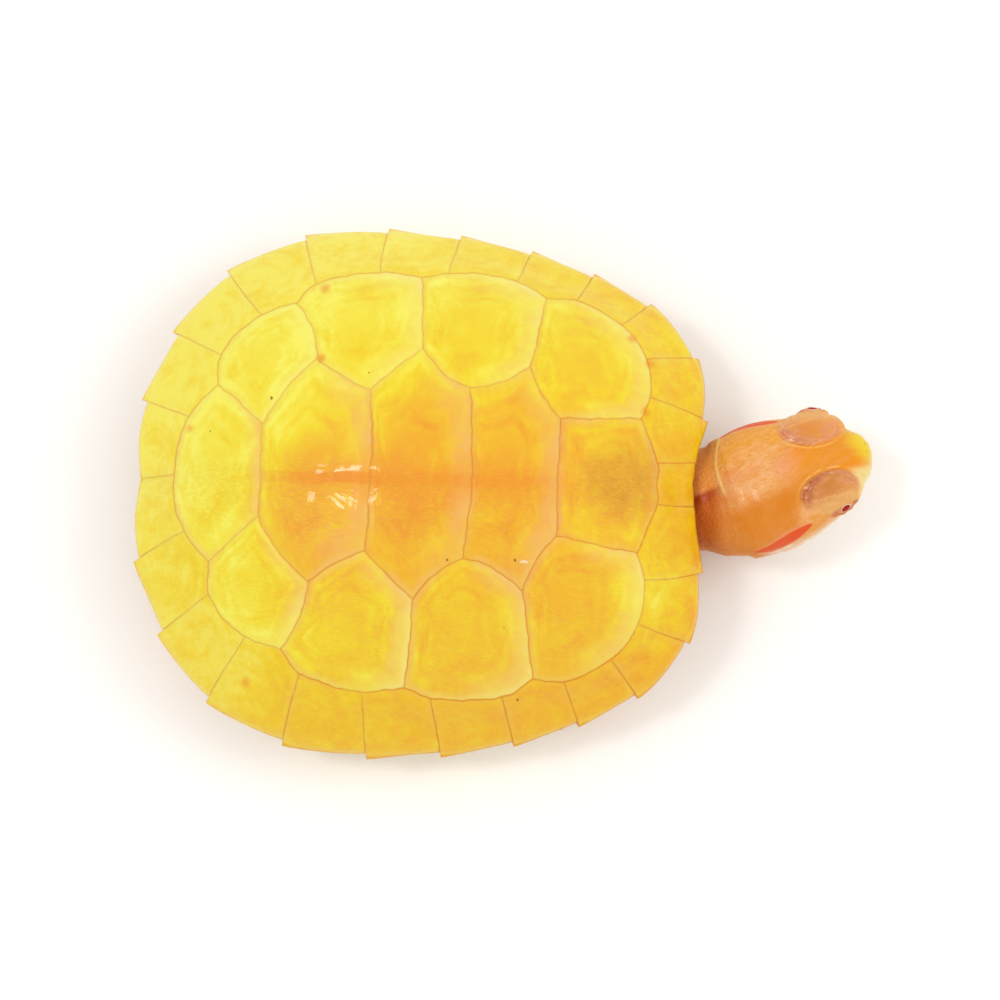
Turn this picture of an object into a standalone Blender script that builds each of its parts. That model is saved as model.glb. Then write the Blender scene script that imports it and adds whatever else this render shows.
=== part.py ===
# Red-eared slider turtle, a young amelanistic animal at rest, as a still life-size model.
# The turtle faces -Y, its left side is +X, and its plastron lies flat on z = 0.
# Plan positions are (forward, left), in halves of the carapace length, from the shell's centre.

import math

import bpy
import bmesh
from mathutils import Matrix, Vector

MM = 0.001

# ---- driving dimensions, in metres ----
CARAPACE_LENGTH = 0.060
HALF = CARAPACE_LENGTH / 2
GAP = 0.0003                 # between neighbouring solids
SCUTE_THICKNESS = 0.0011
PLASTRON_THICKNESS = 0.0011
TRUNK_DEPTH = 0.0018         # the trunk lies this far under the carapace's surface
TRUNK_FLOOR = 0.0016         # and its floor this high, clear of the plastron
CLAW_LENGTH = 0.0022
CLAW_RADIUS = 0.00042
BODY_OFFSET = 0.0089         # moves the shell's centre back, so that the origin is mid-way along the animal

# ---- heights of the shell, in halves of the length ----
DOME_TOP = 0.815
RIM_HEIGHT_SIDE = 0.271
RIM_RISE_FRONT = 0.100
RIM_RISE_REAR = 0.030
DOME_POWER = 0.85            # 1 is a parabola, less is boxier
KEEL_RISE = 0.012
KEEL_WIDTH = 0.050
KEEL_FADE = (0.5, 0.9)       # the keel sinks into the dome between these shares of the rim's distance
LIP_DROP = 0.022             # from the rim down to a marginal's inner lower edge
BRIDGE_DROP = 0.110          # as much again beside the bridge
EDGE_IN = 0.006              # the rim's blunt edge: inwards, then down
EDGE_DROP = 0.028
SLOPE_STEP = 0.004           # how the dome's slope is read: step, and how far inside the rim
SLOPE_INSET = 0.985

# ---- the rim seen from above: degrees from the front, distance from the centre ----
RIM_SHAPE = (
    (0, 0.957), (8, 0.980), (15, 1.020), (24, 1.066), (36, 1.062), (46, 1.016), (57, 0.968),
    (70, 0.932), (85, 0.917), (96, 0.929), (108, 0.965), (124, 1.010), (138, 1.030), (155, 1.013),
    (170, 1.000), (180, 0.957),
)
TOOTH = 0.018                # how far each marginal's rear corner stands out
TOOTH_MEAN = 0.55            # share of the tooth taken off all along the marginal
NUCHAL_INSET = 0.012

# ---- a marginal's lower corners: place between its end angles, share of the rim's distance ----
LOWER_OUTER = (0.8, 0.930)
LOWER_INNER = (0.5, 0.845)
BRIDGE_OUT = 0.02            # the inner one moves out this much beside the bridge
BRIDGE_RANGE = (48, 62, 112, 126)

# ---- the line between marginals and costals: degrees, share of the rim's distance ----
INNER_LINE = (
    (0.0, 0.851), (5.1, 0.847), (17.0, 0.764), (21.8, 0.795), (30.8, 0.836), (40.4, 0.855),
    (51.7, 0.853), (57.4, 0.805), (66.5, 0.838), (84.0, 0.805), (91.1, 0.772), (102.4, 0.783),
    (119.2, 0.769), (126.3, 0.728), (135.3, 0.767), (149.1, 0.790), (156.3, 0.754), (165.9, 0.809),
    (180.0, 0.875),
)
COSTAL_ENDS = (17.0, 57.4, 91.1, 126.3, 156.3)

# ---- marginal seams: degrees at the rim and at the inner line ----
MARGINAL_SEAMS = (
    (4.5, 5.1), (15.1, 21.8), (27.7, 30.8), (41.4, 40.4), (53.6, 51.7), (67.3, 66.5), (83.0, 84.0),
    (98.8, 102.4), (116.0, 119.2), (132.9, 135.3), (148.9, 149.1), (163.8, 165.9), (180.0, 180.0),
)

# ---- where vertebrals and costals meet on the left side; the right mirrors it ----
V12 = (0.476, 0.201)
V2_SIDE = (0.369, 0.387)
V23 = (0.166, 0.291)
V3_SIDE = (0.006, 0.425)
V34 = (-0.163, 0.275)
V4_SIDE = (-0.352, 0.382)
V45 = (-0.528, 0.160)

# ---- how far those seams bow, as a share of their length ----
BOW_V12_SIDE = 0.06
BOW_SIDE_V23 = 0.10
BOW_V23_SIDE = 0.09
BOW_SIDE_V34 = -0.02
BOW_V34_SIDE = 0.05
BOW_SIDE_V45 = -0.05
BOW_COSTAL_3 = 0.08          # the seam between the third and fourth costals
BOW_VERTEBRAL = (0.00, 0.035, 0.02, 0.00)

# ---- how far the keel strays to the left: forward, left ----
KEEL_DRIFT = ((-0.95, 0.006), (-0.50, -0.008), (0.00, -0.013), (0.47, 0.008), (0.81, 0.026), (0.96, 0.053))
DRIFT_WIDTH = 0.20

# ---- plastron: forward on the midline, then forward and half width at the edge ----
PLASTRON_FLAT = 0.50         # half width of the flat underside
BRIDGE_EDGE = 0.745
BRIDGE_RISE = 0.125
GULAR_FRONT = ((0.830, 0.0), (0.835, 0.090), (0.790, 0.170))
HUMERAL_SIDE = ((0.66, 0.335), (0.52, 0.440))
AXILLA = (0.420, 0.480)
AXILLA_OUT = (0.370, 0.600)
BRIDGE_ANGLES = (63, 76, 89, 101, 112)
BRIDGE_SHARE = 0.83
INGUINAL_OUT = (-0.400, 0.600)
INGUINAL = (-0.470, 0.480)
FEMORAL_SIDE = ((-0.60, 0.445), (-0.740, 0.385))
ANAL_REAR = ((-0.860, 0.250), (-0.900, 0.140), (-0.830, 0.0))
MIDLINE_SEAMS = (0.620, 0.440, 0.020, -0.370, -0.620)

# ---- the trunk: shares of the rim's distance up its wall ----
TRUNK_SHARES = (0.22, 0.44, 0.62)
TRUNK_WALL = 0.035           # the wall stands this far inside the inner line
TRUNK_FOOT = 0.020
TRUNK_FLOOR_SHARE = 0.50
TRUNK_RAYS = 40

# ---- shares of a plate's own size at which its faces have rings of points ----
UPPER_RINGS = (1.0, 0.68, 0.34)
LOWER_RINGS = (1.0, 0.5)

# ---- head, neck, limbs and tail, in millimetres ----
SNOUT = (46.85, 5.95)        # forward and left of the shell's centre
HEAD_TURN = math.radians(19)
# distance back from the snout, half width, top, bottom
HEAD_STATIONS = (
    (0.0, 1.1, 9.3, 6.5), (0.4, 2.0, 10.0, 5.8), (1.3, 2.9, 10.7, 5.3), (2.6, 3.95, 11.4, 4.85),
    (4.3, 4.9, 12.1, 4.5), (6.4, 5.6, 12.6, 4.2), (8.6, 6.3, 12.9, 3.95), (10.8, 6.85, 13.0, 3.75),
    (12.9, 6.9, 12.8, 3.6), (14.6, 6.6, 12.3, 3.5),
)
HEAD_SECTIONS = 21
HEAD_SIDES = 22
HEAD_SPACING = 1.25          # more than 1 sets the sections closer at the snout
HEAD_POWER = 2.35            # 2 is an ellipse, more is boxier
EYE_BACK = 5.0
EYE_SIDE = 3.45
EYE_HEIGHT = 9.3
EYE_RADIUS = 2.15
LID_RADIUS = 2.75            # the lids' outer face, from the eye's centre
LID_BLEND = 0.9
LID_OPENING = 1.65
EYE_FORWARD = math.radians(15)
EYE_UP = math.radians(22)
# forward, left, centre height, half width, half height
NECK_STATIONS = (
    (12.4, -0.4, 5.35, 4.2, 3.70), (17.0, -0.4, 5.40, 4.5, 3.85), (22.0, -0.3, 5.50, 4.8, 3.95),
    (26.5, 0.0, 5.50, 5.3, 3.90), (29.8, 0.5, 6.20, 5.9, 4.10), (32.7, 1.08, 7.9, 6.4, 4.30),
)
# forward, left, height, half width, half height
FORELEG_PATH = (
    (13.1, 9.0, 5.6, 3.0, 3.0), (16.8, 9.6, 5.6, 3.1, 3.1), (20.2, 11.0, 5.3, 2.8, 3.0),
    (21.8, 14.0, 4.9, 2.5, 2.7), (20.9, 17.2, 4.3, 2.2, 2.4), (18.4, 19.4, 3.6, 2.2, 1.9),
    (16.3, 20.5, 2.9, 2.6, 1.3), (14.7, 21.2, 2.5, 2.7, 0.8),
)
HINDLEG_PATH = (
    (-17.6, 6.4, 5.4, 2.9, 3.0), (-17.7, 10.4, 5.4, 3.1, 3.1), (-18.4, 14.2, 5.1, 2.9, 3.0),
    (-20.4, 16.9, 4.7, 2.4, 2.6), (-23.0, 16.6, 4.2, 2.0, 2.2), (-24.6, 14.2, 3.7, 2.2, 1.7),
    (-25.7, 12.0, 3.2, 2.7, 1.2), (-26.4, 10.3, 2.9, 2.8, 0.8),
)
TAIL_PATH = (
    (-14.6, 0.0, 5.5, 2.9, 2.9), (-18.5, 0.0, 5.0, 2.5, 2.5), (-22.0, 0.4, 4.4, 2.0, 2.0),
    (-24.8, 1.6, 3.9, 1.4, 1.4), (-26.3, 3.4, 3.5, 0.9, 0.9), (-26.9, 5.2, 3.3, 0.5, 0.5),
)

CLAW_FAN = 0.5               # how far the outer claws turn outwards
CLAW_DIP = 0.12
CLAW_SPREAD = 0.72           # share of the foot's half width over which the claws stand
CLAW_SET_BACK = 0.5          # the outer claws stand this far behind the middle one
CLAW_SHOWN = 0.15            # how far a claw's middle stands in front of its root, as a share of its length

# corners (forward, left, height) of the room for the limbs
FRONT_POCKET = ((12.0, -40, -2), (45, 40, 10.6))
REAR_POCKET = ((-45, -40, -2), (-13.9, 40, 9.4))

# ---- colours ----
YELLOW = (0.88, 0.66, 0.10)
ORANGE = (0.86, 0.45, 0.06)
CREAM = (0.90, 0.72, 0.30)
SKIN = (0.80, 0.45, 0.16)
EYE_RED = (0.35, 0.02, 0.01)


def clear_scene():
    for item in list(bpy.data.objects):
        bpy.data.objects.remove(item, do_unlink=True)


def material(name, colour, roughness):
    made = bpy.data.materials.new(name)
    made.use_nodes = True
    shader = made.node_tree.nodes["Principled BSDF"]
    shader.inputs["Base Color"].default_value = (*colour, 1)
    shader.inputs["Roughness"].default_value = roughness
    made.diffuse_color = (*colour, 1)
    return made


def through(points, x):
    """Smooth curve through (x, value) points, flat beyond the ends."""
    if x <= points[0][0]:
        return points[0][1]
    if x >= points[-1][0]:
        return points[-1][1]
    i = max(k for k in range(len(points) - 1) if points[k][0] <= x)
    x0, y0 = points[i]
    x1, y1 = points[i + 1]
    slope = (y1 - y0) / (x1 - x0)
    before = slope
    after = slope
    if i > 0:
        before = (y1 - points[i - 1][1]) / (x1 - points[i - 1][0])
    if i + 2 < len(points):
        after = (points[i + 2][1] - y0) / (points[i + 2][0] - x0)
    t = (x - x0) / (x1 - x0)
    h = x1 - x0
    return ((2 * t**3 - 3 * t**2 + 1) * y0 + (t**3 - 2 * t**2 + t) * h * before
            + (3 * t**2 - 2 * t**3) * y1 + (t**3 - t**2) * h * after)


def straight(points, x):
    """Straight runs between (x, value) points."""
    i = max(k for k in range(len(points) - 1) if points[k][0] <= x)
    x0, y0 = points[i]
    x1, y1 = points[i + 1]
    return y0 + (y1 - y0) * (x - x0) / (x1 - x0)


def smooth_step(x):
    x = min(max(x, 0), 1)
    return x * x * (3 - 2 * x)


# ---- the shell's shape ----

def folded(angle):
    """Degrees from the front, on whichever side."""
    return abs((angle + 180) % 360 - 180)


def rim(angle):
    return through(RIM_SHAPE, folded(angle))


def inner_share(angle):
    """Share of the rim's distance at which marginals end and costals begin."""
    return straight(INNER_LINE, folded(angle))


def rim_height(angle):
    forward = math.cos(math.radians(angle))
    return RIM_HEIGHT_SIDE + RIM_RISE_FRONT * max(forward, 0) ** 4 + RIM_RISE_REAR * max(-forward, 0) ** 4


def dome(forward, left):
    """Height of the carapace over a plan point."""
    angle = math.degrees(math.atan2(left, forward))
    share = min(math.hypot(forward, left) / rim(angle), 1)
    base = rim_height(angle)
    fade = 1 - smooth_step((share - KEEL_FADE[0]) / (KEEL_FADE[1] - KEEL_FADE[0]))
    keel = KEEL_RISE * math.exp(-(left / KEEL_WIDTH) ** 2) * fade
    return base + (DOME_TOP - base) * (1 - share**2) ** DOME_POWER + keel


def surface_normal(forward, left):
    """Outward direction of the carapace over a plan point, in the world's axes."""
    step = SLOPE_STEP
    f = forward * SLOPE_INSET
    s = left * SLOPE_INSET
    slope_f = (dome(f + step, s) - dome(f - step, s)) / (2 * step)
    slope_s = (dome(f, s + step) - dome(f, s - step)) / (2 * step)
    return Vector((-slope_s, slope_f, 1)).normalized()


def underside(left):
    """Height of the plastron's lower face, which rises over the bridge."""
    return BRIDGE_RISE * smooth_step((abs(left) - PLASTRON_FLAT) / (BRIDGE_EDGE - PLASTRON_FLAT))


def drift(forward, left):
    sway = through(KEEL_DRIFT, forward) * math.exp(-(left / DRIFT_WIDTH) ** 2)
    return (forward, left + sway)


def polar(angle, share):
    radius = rim(angle) * share
    return (radius * math.cos(math.radians(angle)), radius * math.sin(math.radians(angle)))


def world(forward, left, height):
    """Plan position and height in halves of the length to metres."""
    return Vector((left * HALF, BODY_OFFSET - forward * HALF, height * HALF))


def world_mm(forward, left, height):
    return Vector((left * MM, BODY_OFFSET - forward * MM, height * MM))


# ---- outlines of scutes ----

def seam(start, end, bulge=0.0, steps=4):
    """Points from start up to, not including, end; bulge bows the seam to its left."""
    points = []
    for i in range(steps):
        t = i / steps
        bow = 4 * t * (1 - t) * bulge
        f = start[0] + (end[0] - start[0]) * t - (end[1] - start[1]) * bow
        s = start[1] + (end[1] - start[1]) * t + (end[0] - start[0]) * bow
        points.append((f, s))
    return points


def inner_run(first, last):
    """Points of the inner line from one angle up to, not including, another."""
    sign = 1 if last > first else -1
    left = [a for a, _ in INNER_LINE]
    corners = left + [-a for a in left[1:-1]] + [360 - a for a in left[1:-1]]
    between = [a for a in corners if (a - first) * sign > 0.1 and (last - a) * sign > 0.1]
    stops = [first] + sorted(between, key=lambda a: a * sign) + [last]
    points = []
    for a, b in zip(stops, stops[1:]):
        pieces = 2 if abs(b - a) > 8 else 1
        for i in range(pieces):
            angle = a + (b - a) * i / pieces
            points.append(polar(angle, inner_share(angle)))
    return points


def mirrored(points):
    return [(f, -s) for f, s in reversed(points)]


def flipped(point):
    return (point[0], -point[1])


def shrink(outline, distance):
    """Move a counter-clockwise outline's sides inwards."""
    moved = []
    count = len(outline)
    for i in range(count):
        before = Vector(outline[i - 1])
        here = Vector(outline[i])
        after = Vector(outline[(i + 1) % count])
        a = (here - before).normalized()
        b = (after - here).normalized()
        normal_a = Vector((-a.y, a.x))
        normal_b = Vector((-b.y, b.x))
        middle = (normal_a + normal_b).normalized()
        reach = distance / max(middle.dot(normal_a), 0.5)
        moved.append(tuple(here + middle * reach))
    return moved


def signed_area(outline):
    return sum(a[0] * b[1] - b[0] * a[1] for a, b in zip(outline, outline[1:] + outline[:1])) / 2


def costal_outline(number):
    end = [polar(a, inner_share(a)) for a in COSTAL_ENDS]
    outer = inner_run(COSTAL_ENDS[number - 1], COSTAL_ENDS[number])
    if number == 1:
        inner = seam(end[1], V2_SIDE) + seam(V2_SIDE, V12, -BOW_V12_SIDE) + seam(V12, end[0])
    elif number == 2:
        inner = (seam(end[2], V3_SIDE) + seam(V3_SIDE, V23, -BOW_V23_SIDE)
                 + seam(V23, V2_SIDE, -BOW_SIDE_V23) + seam(V2_SIDE, end[1]))
    elif number == 3:
        inner = (seam(end[3], V4_SIDE, BOW_COSTAL_3) + seam(V4_SIDE, V34, -BOW_V34_SIDE)
                 + seam(V34, V3_SIDE, -BOW_SIDE_V34) + seam(V3_SIDE, end[2]))
    else:
        inner = (seam(end[4], V45) + seam(V45, V4_SIDE, -BOW_SIDE_V45)
                 + seam(V4_SIDE, end[3], -BOW_COSTAL_3))
    return outer + inner


def half_vertebral(number):
    """Left edge of a vertebral, from its front seam to its rear seam."""
    if number == 1:
        return seam(polar(COSTAL_ENDS[0], inner_share(COSTAL_ENDS[0])), V12)
    if number == 2:
        return seam(V12, V2_SIDE, BOW_V12_SIDE) + seam(V2_SIDE, V23, BOW_SIDE_V23)
    if number == 3:
        return seam(V23, V3_SIDE, BOW_V23_SIDE) + seam(V3_SIDE, V34, BOW_SIDE_V34)
    if number == 4:
        return seam(V34, V4_SIDE, BOW_V34_SIDE) + seam(V4_SIDE, V45, BOW_SIDE_V45)
    return seam(V45, polar(COSTAL_ENDS[4], inner_share(COSTAL_ENDS[4])))


def vertebral_outline(number):
    rear = (V12, V23, V34, V45)
    bow = BOW_VERTEBRAL
    left = half_vertebral(number)
    right = mirrored(left[1:])
    if number == 1:
        front = inner_run(-COSTAL_ENDS[0], COSTAL_ENDS[0])
        return front + left + seam(V12, flipped(V12), bow[0]) + [flipped(V12)] + right
    if number == 5:
        back = inner_run(COSTAL_ENDS[4], 360 - COSTAL_ENDS[4])
        end = polar(-COSTAL_ENDS[4], inner_share(COSTAL_ENDS[4]))
        return left + back + [end] + right + seam(flipped(V45), V45, -bow[3])
    front_corner = rear[number - 2]
    rear_corner = rear[number - 1]
    back = seam(rear_corner, flipped(rear_corner), bow[number - 1])
    front = seam(flipped(front_corner), front_corner, -bow[number - 2])
    return left + back + [flipped(rear_corner)] + right + front


# ---- meshes ----

def finish(name, mesh_data, slot):
    mesh = bpy.data.meshes.new(name)
    bmesh.ops.recalc_face_normals(mesh_data, faces=mesh_data.faces)
    mesh_data.to_mesh(mesh)
    mesh_data.free()
    mesh.materials.append(slot)
    for face in mesh.polygons:
        face.use_smooth = True
    mesh.set_sharp_from_angle(angle=math.radians(40))
    made = bpy.data.objects.new(name, mesh)
    bpy.context.collection.objects.link(made)
    return made


def plate(name, outline, top, bottom, slot):
    """A plate over an outline; top and bottom give a world point for each plan point."""
    if signed_area(outline) < 0:
        outline = outline[::-1]
    outline = shrink(outline, GAP / 2 / HALF)
    middle = Vector((sum(p[0] for p in outline), sum(p[1] for p in outline))) / len(outline)
    data = bmesh.new()

    def rings(place, shares):
        loops = []
        for share in shares:
            loops.append([data.verts.new(place(*(middle + (Vector(p) - middle) * share))) for p in outline])
        return loops, data.verts.new(place(*middle))

    upper, top_point = rings(top, UPPER_RINGS)
    lower, bottom_point = rings(bottom, LOWER_RINGS)
    count = len(outline)
    for i in range(count):
        j = (i + 1) % count
        for a, b in zip(upper, upper[1:]):
            data.faces.new((a[i], a[j], b[j], b[i]))
        data.faces.new((upper[-1][i], upper[-1][j], top_point))
        for a, b in zip(lower, lower[1:]):
            data.faces.new((a[i], b[i], b[j], a[j]))
        data.faces.new((lower[-1][j], lower[-1][i], bottom_point))
        data.faces.new((upper[0][j], upper[0][i], lower[0][i], lower[0][j]))
    return finish(name, data, slot)


def loft(name, sections, slot):
    """A closed solid through rings of points, with a fan at each end."""
    data = bmesh.new()
    rings = [[data.verts.new(p) for p in ring] for ring in sections]
    count = len(rings[0])
    for a, b in zip(rings, rings[1:]):
        for i in range(count):
            j = (i + 1) % count
            data.faces.new((a[i], a[j], b[j], b[i]))
    data.faces.new(rings[0])
    data.faces.new(rings[-1][::-1])
    return finish(name, data, slot)


def scute(name, outline, slot):
    outline = [drift(*p) for p in outline]

    def top(f, s):
        return world(f, s, dome(f, s))

    def bottom(f, s):
        return top(f, s) - surface_normal(f, s) * SCUTE_THICKNESS

    return plate(name, outline, top, bottom, slot)


def bridge_share(angle):
    """1 beside the bridge, 0 at the front and the rear."""
    start, full, fading, end = BRIDGE_RANGE
    return (smooth_step((abs(angle) - start) / (full - start))
            * (1 - smooth_step((abs(angle) - fading) / (end - fading))))


def rim_section(outer_angle, inner_angle, tooth):
    """One cross-section of a marginal, from its inner edge over the rim and back below."""
    rim_share = 1 + tooth / rim(outer_angle)
    start_share = inner_share(inner_angle) + GAP / 2 / HALF / rim(inner_angle)
    height = rim_height(outer_angle)
    bridge = bridge_share(outer_angle)

    def at(mix, share, z=None):
        angle = inner_angle + (outer_angle - inner_angle) * mix
        f, s = drift(*polar(angle, share))
        return world(f, s, dome(f, s) if z is None else z)

    inner_top = at(0, start_share)
    inner_normal = surface_normal(*drift(*polar(inner_angle, start_share)))
    across = [at(mix, start_share + (rim_share - start_share) * mix) for mix in (0.4, 0.75)]
    return [
        inner_top,
        *across,
        at(1, rim_share, height),
        at(1, rim_share - EDGE_IN, height - EDGE_DROP),
        at(*LOWER_OUTER, height - LIP_DROP - EDGE_IN * 2 - BRIDGE_DROP / 2 * bridge),
        at(LOWER_INNER[0], LOWER_INNER[1] + BRIDGE_OUT * bridge, height - LIP_DROP - BRIDGE_DROP * bridge),
        inner_top - inner_normal * SCUTE_THICKNESS,
    ]


def rim_piece(name, outer, inner, teeth, slot, steps=4):
    """A nuchal or marginal between two pairs of angles, with its gap taken off each end."""
    outer_trim = math.degrees(GAP / 2 / HALF / rim(outer[0])) / abs(outer[1] - outer[0])
    inner_trim = math.degrees(GAP / 2 / HALF / rim(inner[0]) / 0.8) / abs(inner[1] - inner[0])
    sections = []
    for i in range(steps + 1):
        t = i / steps
        outer_t = outer_trim + (1 - 2 * outer_trim) * t
        inner_t = inner_trim + (1 - 2 * inner_trim) * t
        outer_angle = outer[0] + (outer[1] - outer[0]) * outer_t
        inner_angle = inner[0] + (inner[1] - inner[0]) * inner_t
        sections.append(rim_section(outer_angle, inner_angle, teeth(t)))
    return loft(name, sections, slot)


def marginal_teeth(t):
    return TOOTH * (t**2 - TOOTH_MEAN)


def nuchal_teeth(_):
    return -NUCHAL_INSET


# ---- plastron ----

def plastron_outlines():
    """Left plates from front to rear, each as points around its edge."""
    mid = [(f, 0.0) for f in MIDLINE_SEAMS]
    bridge = [polar(a, BRIDGE_SHARE) for a in BRIDGE_ANGLES]
    return {
        "gular": [GULAR_FRONT[0], GULAR_FRONT[1], GULAR_FRONT[2], mid[0]],
        "humeral": [mid[0], GULAR_FRONT[2], HUMERAL_SIDE[0], HUMERAL_SIDE[1], mid[1]],
        "pectoral": [mid[1], HUMERAL_SIDE[1], AXILLA, AXILLA_OUT, *bridge[:3], mid[2]],
        "abdominal": [mid[2], *bridge[2:], INGUINAL_OUT, INGUINAL, mid[3]],
        "femoral": [mid[3], INGUINAL, FEMORAL_SIDE[0], FEMORAL_SIDE[1], mid[4]],
        "anal": [mid[4], FEMORAL_SIDE[1], ANAL_REAR[0], ANAL_REAR[1], ANAL_REAR[2]],
    }


def plastral_scute(name, corners, slot):
    outline = []
    for a, b in zip(corners, corners[1:] + corners[:1]):
        length = math.hypot(b[0] - a[0], b[1] - a[1])
        outline += seam(a, b, steps=3 if length > 0.3 else (2 if length > 0.2 else 1))

    def top(f, s):
        return world(f, s, underside(s) + PLASTRON_THICKNESS / HALF)

    def bottom(f, s):
        return world(f, s, underside(s))

    return plate(name, outline, top, bottom, slot)


# ---- trunk ----

def trunk_ring(angle):
    """Points down the trunk at one angle, from near the top to near the middle of the floor."""
    wall = inner_share(angle) - TRUNK_WALL
    points = []
    for share in (*TRUNK_SHARES, wall):
        f, s = drift(*polar(angle, share))
        points.append(world(f, s, dome(f, s)) - surface_normal(f, s) * TRUNK_DEPTH)
    for share in (wall - TRUNK_FOOT, TRUNK_FLOOR_SHARE):
        f, s = polar(angle, share)
        points.append(world(f, s, underside(s) + TRUNK_FLOOR / HALF))
    return points


def trunk_solid(slot):
    data = bmesh.new()
    angles = [180 - 360 * (i + 0.5) / TRUNK_RAYS for i in range(TRUNK_RAYS)]
    rings = [[data.verts.new(p) for p in trunk_ring(angle)] for angle in angles]
    top = data.verts.new(world(0, 0, dome(0, 0)) - Vector((0, 0, TRUNK_DEPTH)))
    floor = data.verts.new(world(0, 0, TRUNK_FLOOR / HALF))
    for a, b in zip(rings, rings[1:] + rings[:1]):
        data.faces.new((top, a[0], b[0]))
        for i in range(len(a) - 1):
            data.faces.new((a[i], a[i + 1], b[i + 1], b[i]))
        data.faces.new((floor, b[-1], a[-1]))
    return finish("trunk", data, slot)


def cutter(name, low, high):
    """A box between two (forward, left, height) corners in millimetres, used to cut."""
    data = bmesh.new()
    bmesh.ops.create_cube(data, size=1.0)
    a = world_mm(*low)
    b = world_mm(*high)
    for vert in data.verts:
        vert.co = Vector([(a[k] + b[k]) / 2 + vert.co[k] * abs(b[k] - a[k]) for k in range(3)])
    return hide_guide(finish(name, data, None))


def hide_guide(guide):
    guide.hide_render = True
    guide.display_type = "WIRE"
    return guide


def combine(target, tool, operation):
    change = target.modifiers.new(tool.name, "BOOLEAN")
    change.operation = operation
    change.solver = "EXACT"
    change.object = tool


# ---- head, neck, limbs, tail ----

def ring_points(centre, across, up, half_width, half_height, sides, power=2.0):
    points = []
    for i in range(sides):
        angle = 2 * math.pi * i / sides
        c = math.cos(angle)
        s = math.sin(angle)
        x = math.copysign(abs(c) ** (2 / power), c) * half_width
        z = math.copysign(abs(s) ** (2 / power), s) * half_height
        points.append(centre + across * x + up * z)
    return points


def head_point(back, side, height):
    """World point from distance behind the snout, distance to its left and height, in millimetres."""
    f = SNOUT[0] - back * math.cos(HEAD_TURN) - side * math.sin(HEAD_TURN)
    s = SNOUT[1] - back * math.sin(HEAD_TURN) + side * math.cos(HEAD_TURN)
    return world_mm(f, s, height)


def eye_centre(side):
    return Vector((EYE_BACK, EYE_SIDE * side, EYE_HEIGHT))


def eye_axis(side):
    """The way an eye looks, in the head's own (back, left, up) directions."""
    level = math.cos(EYE_UP)
    return Vector((-level * math.sin(EYE_FORWARD), side * level * math.cos(EYE_FORWARD), math.sin(EYE_UP)))


def over_eyes(point):
    """Push a point of the head out, so that the skin runs over both eyes as lids."""
    for side in (1, -1):
        offset = point - eye_centre(side)
        distance = offset.length
        share = min(max(0.5 + 0.5 * (LID_RADIUS - distance) / LID_BLEND, 0), 1)
        reach = distance + (LID_RADIUS - distance) * share + LID_BLEND * share * (1 - share)
        point = eye_centre(side) + offset.normalized() * reach
    return point


def head_solid(slot):
    length = HEAD_STATIONS[-1][0]
    sections = []
    for i in range(HEAD_SECTIONS):
        back = length * (i / (HEAD_SECTIONS - 1)) ** HEAD_SPACING
        columns = [[(row[0], row[k]) for row in HEAD_STATIONS] for k in (1, 2, 3)]
        half_width, top, bottom = (through(column, back) for column in columns)
        centre = Vector((back, 0, (top + bottom) / 2))
        ring = ring_points(centre, Vector((0, 1, 0)), Vector((0, 0, 1)), half_width, (top - bottom) / 2,
                           HEAD_SIDES, HEAD_POWER)
        sections.append([head_point(*over_eyes(point)) for point in ring])
    return loft("head", sections, slot)


def lid_opening(name, side):
    """A short rod along the way an eye looks, which opens the lids."""
    data = bmesh.new()
    start = head_point(*eye_centre(side))
    end = head_point(*(eye_centre(side) + eye_axis(side) * 2 * LID_RADIUS))
    turn = (end - start).to_track_quat("Z", "Y").to_matrix().to_4x4()
    radius = LID_OPENING * MM
    bmesh.ops.create_cone(data, cap_ends=True, segments=16, radius1=radius, radius2=radius,
                          depth=(end - start).length, matrix=Matrix.Translation((start + end) / 2) @ turn)
    return hide_guide(finish(name, data, None))


def ball(name, centre, radius, slot):
    data = bmesh.new()
    bmesh.ops.create_uvsphere(data, u_segments=14, v_segments=9, radius=radius)
    for vert in data.verts:
        vert.co += centre
    return finish(name, data, slot)


def tube(name, path, slot, sides=12, last=None):
    """A solid limb through (forward, left, height, half width, half height) stations in millimetres."""
    places = [world_mm(*station[:3]) for station in path]
    sections = []
    for i, station in enumerate(path):
        along = (places[min(i + 1, len(path) - 1)] - places[max(i - 1, 0)]).normalized()
        if last is not None and i == len(path) - 1:
            along = last
        across = along.cross(Vector((0, 0, 1))).normalized()
        up = across.cross(along).normalized()
        sections.append(ring_points(places[i], across, up, station[3] * MM, station[4] * MM, sides))
    return loft(name, sections, slot)


def claw_set(name, path, count, slot):
    """Small cones fanned across the end of a foot, in one mesh."""
    tip = world_mm(*path[-1][:3])
    along = tip - world_mm(*path[-2][:3])
    along.z = 0
    along.normalize()
    across = along.cross(Vector((0, 0, 1)))
    data = bmesh.new()
    for i in range(count):
        fan = (i / (count - 1) - 0.5) * 2
        direction = (along + across * fan * CLAW_FAN - Vector((0, 0, CLAW_DIP))).normalized()
        root = tip + (across * fan * path[-1][3] * CLAW_SPREAD - along * abs(fan) * CLAW_SET_BACK) * MM
        turn = direction.to_track_quat("Z", "Y").to_matrix().to_4x4()
        middle = Matrix.Translation(root + direction * CLAW_LENGTH * CLAW_SHOWN)
        bmesh.ops.create_cone(data, cap_ends=True, segments=6, radius1=CLAW_RADIUS, radius2=CLAW_RADIUS / 5,
                              depth=CLAW_LENGTH, matrix=middle @ turn)
    return hide_guide(finish(name, data, slot))


def leg(name, path, claws, slot):
    limb = tube(name, path, slot)
    combine(limb, claw_set(name + "_claws", path, claws, slot), "UNION")
    return limb


def other_side(path):
    return tuple((f, -s, *rest) for f, s, *rest in path)


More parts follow.
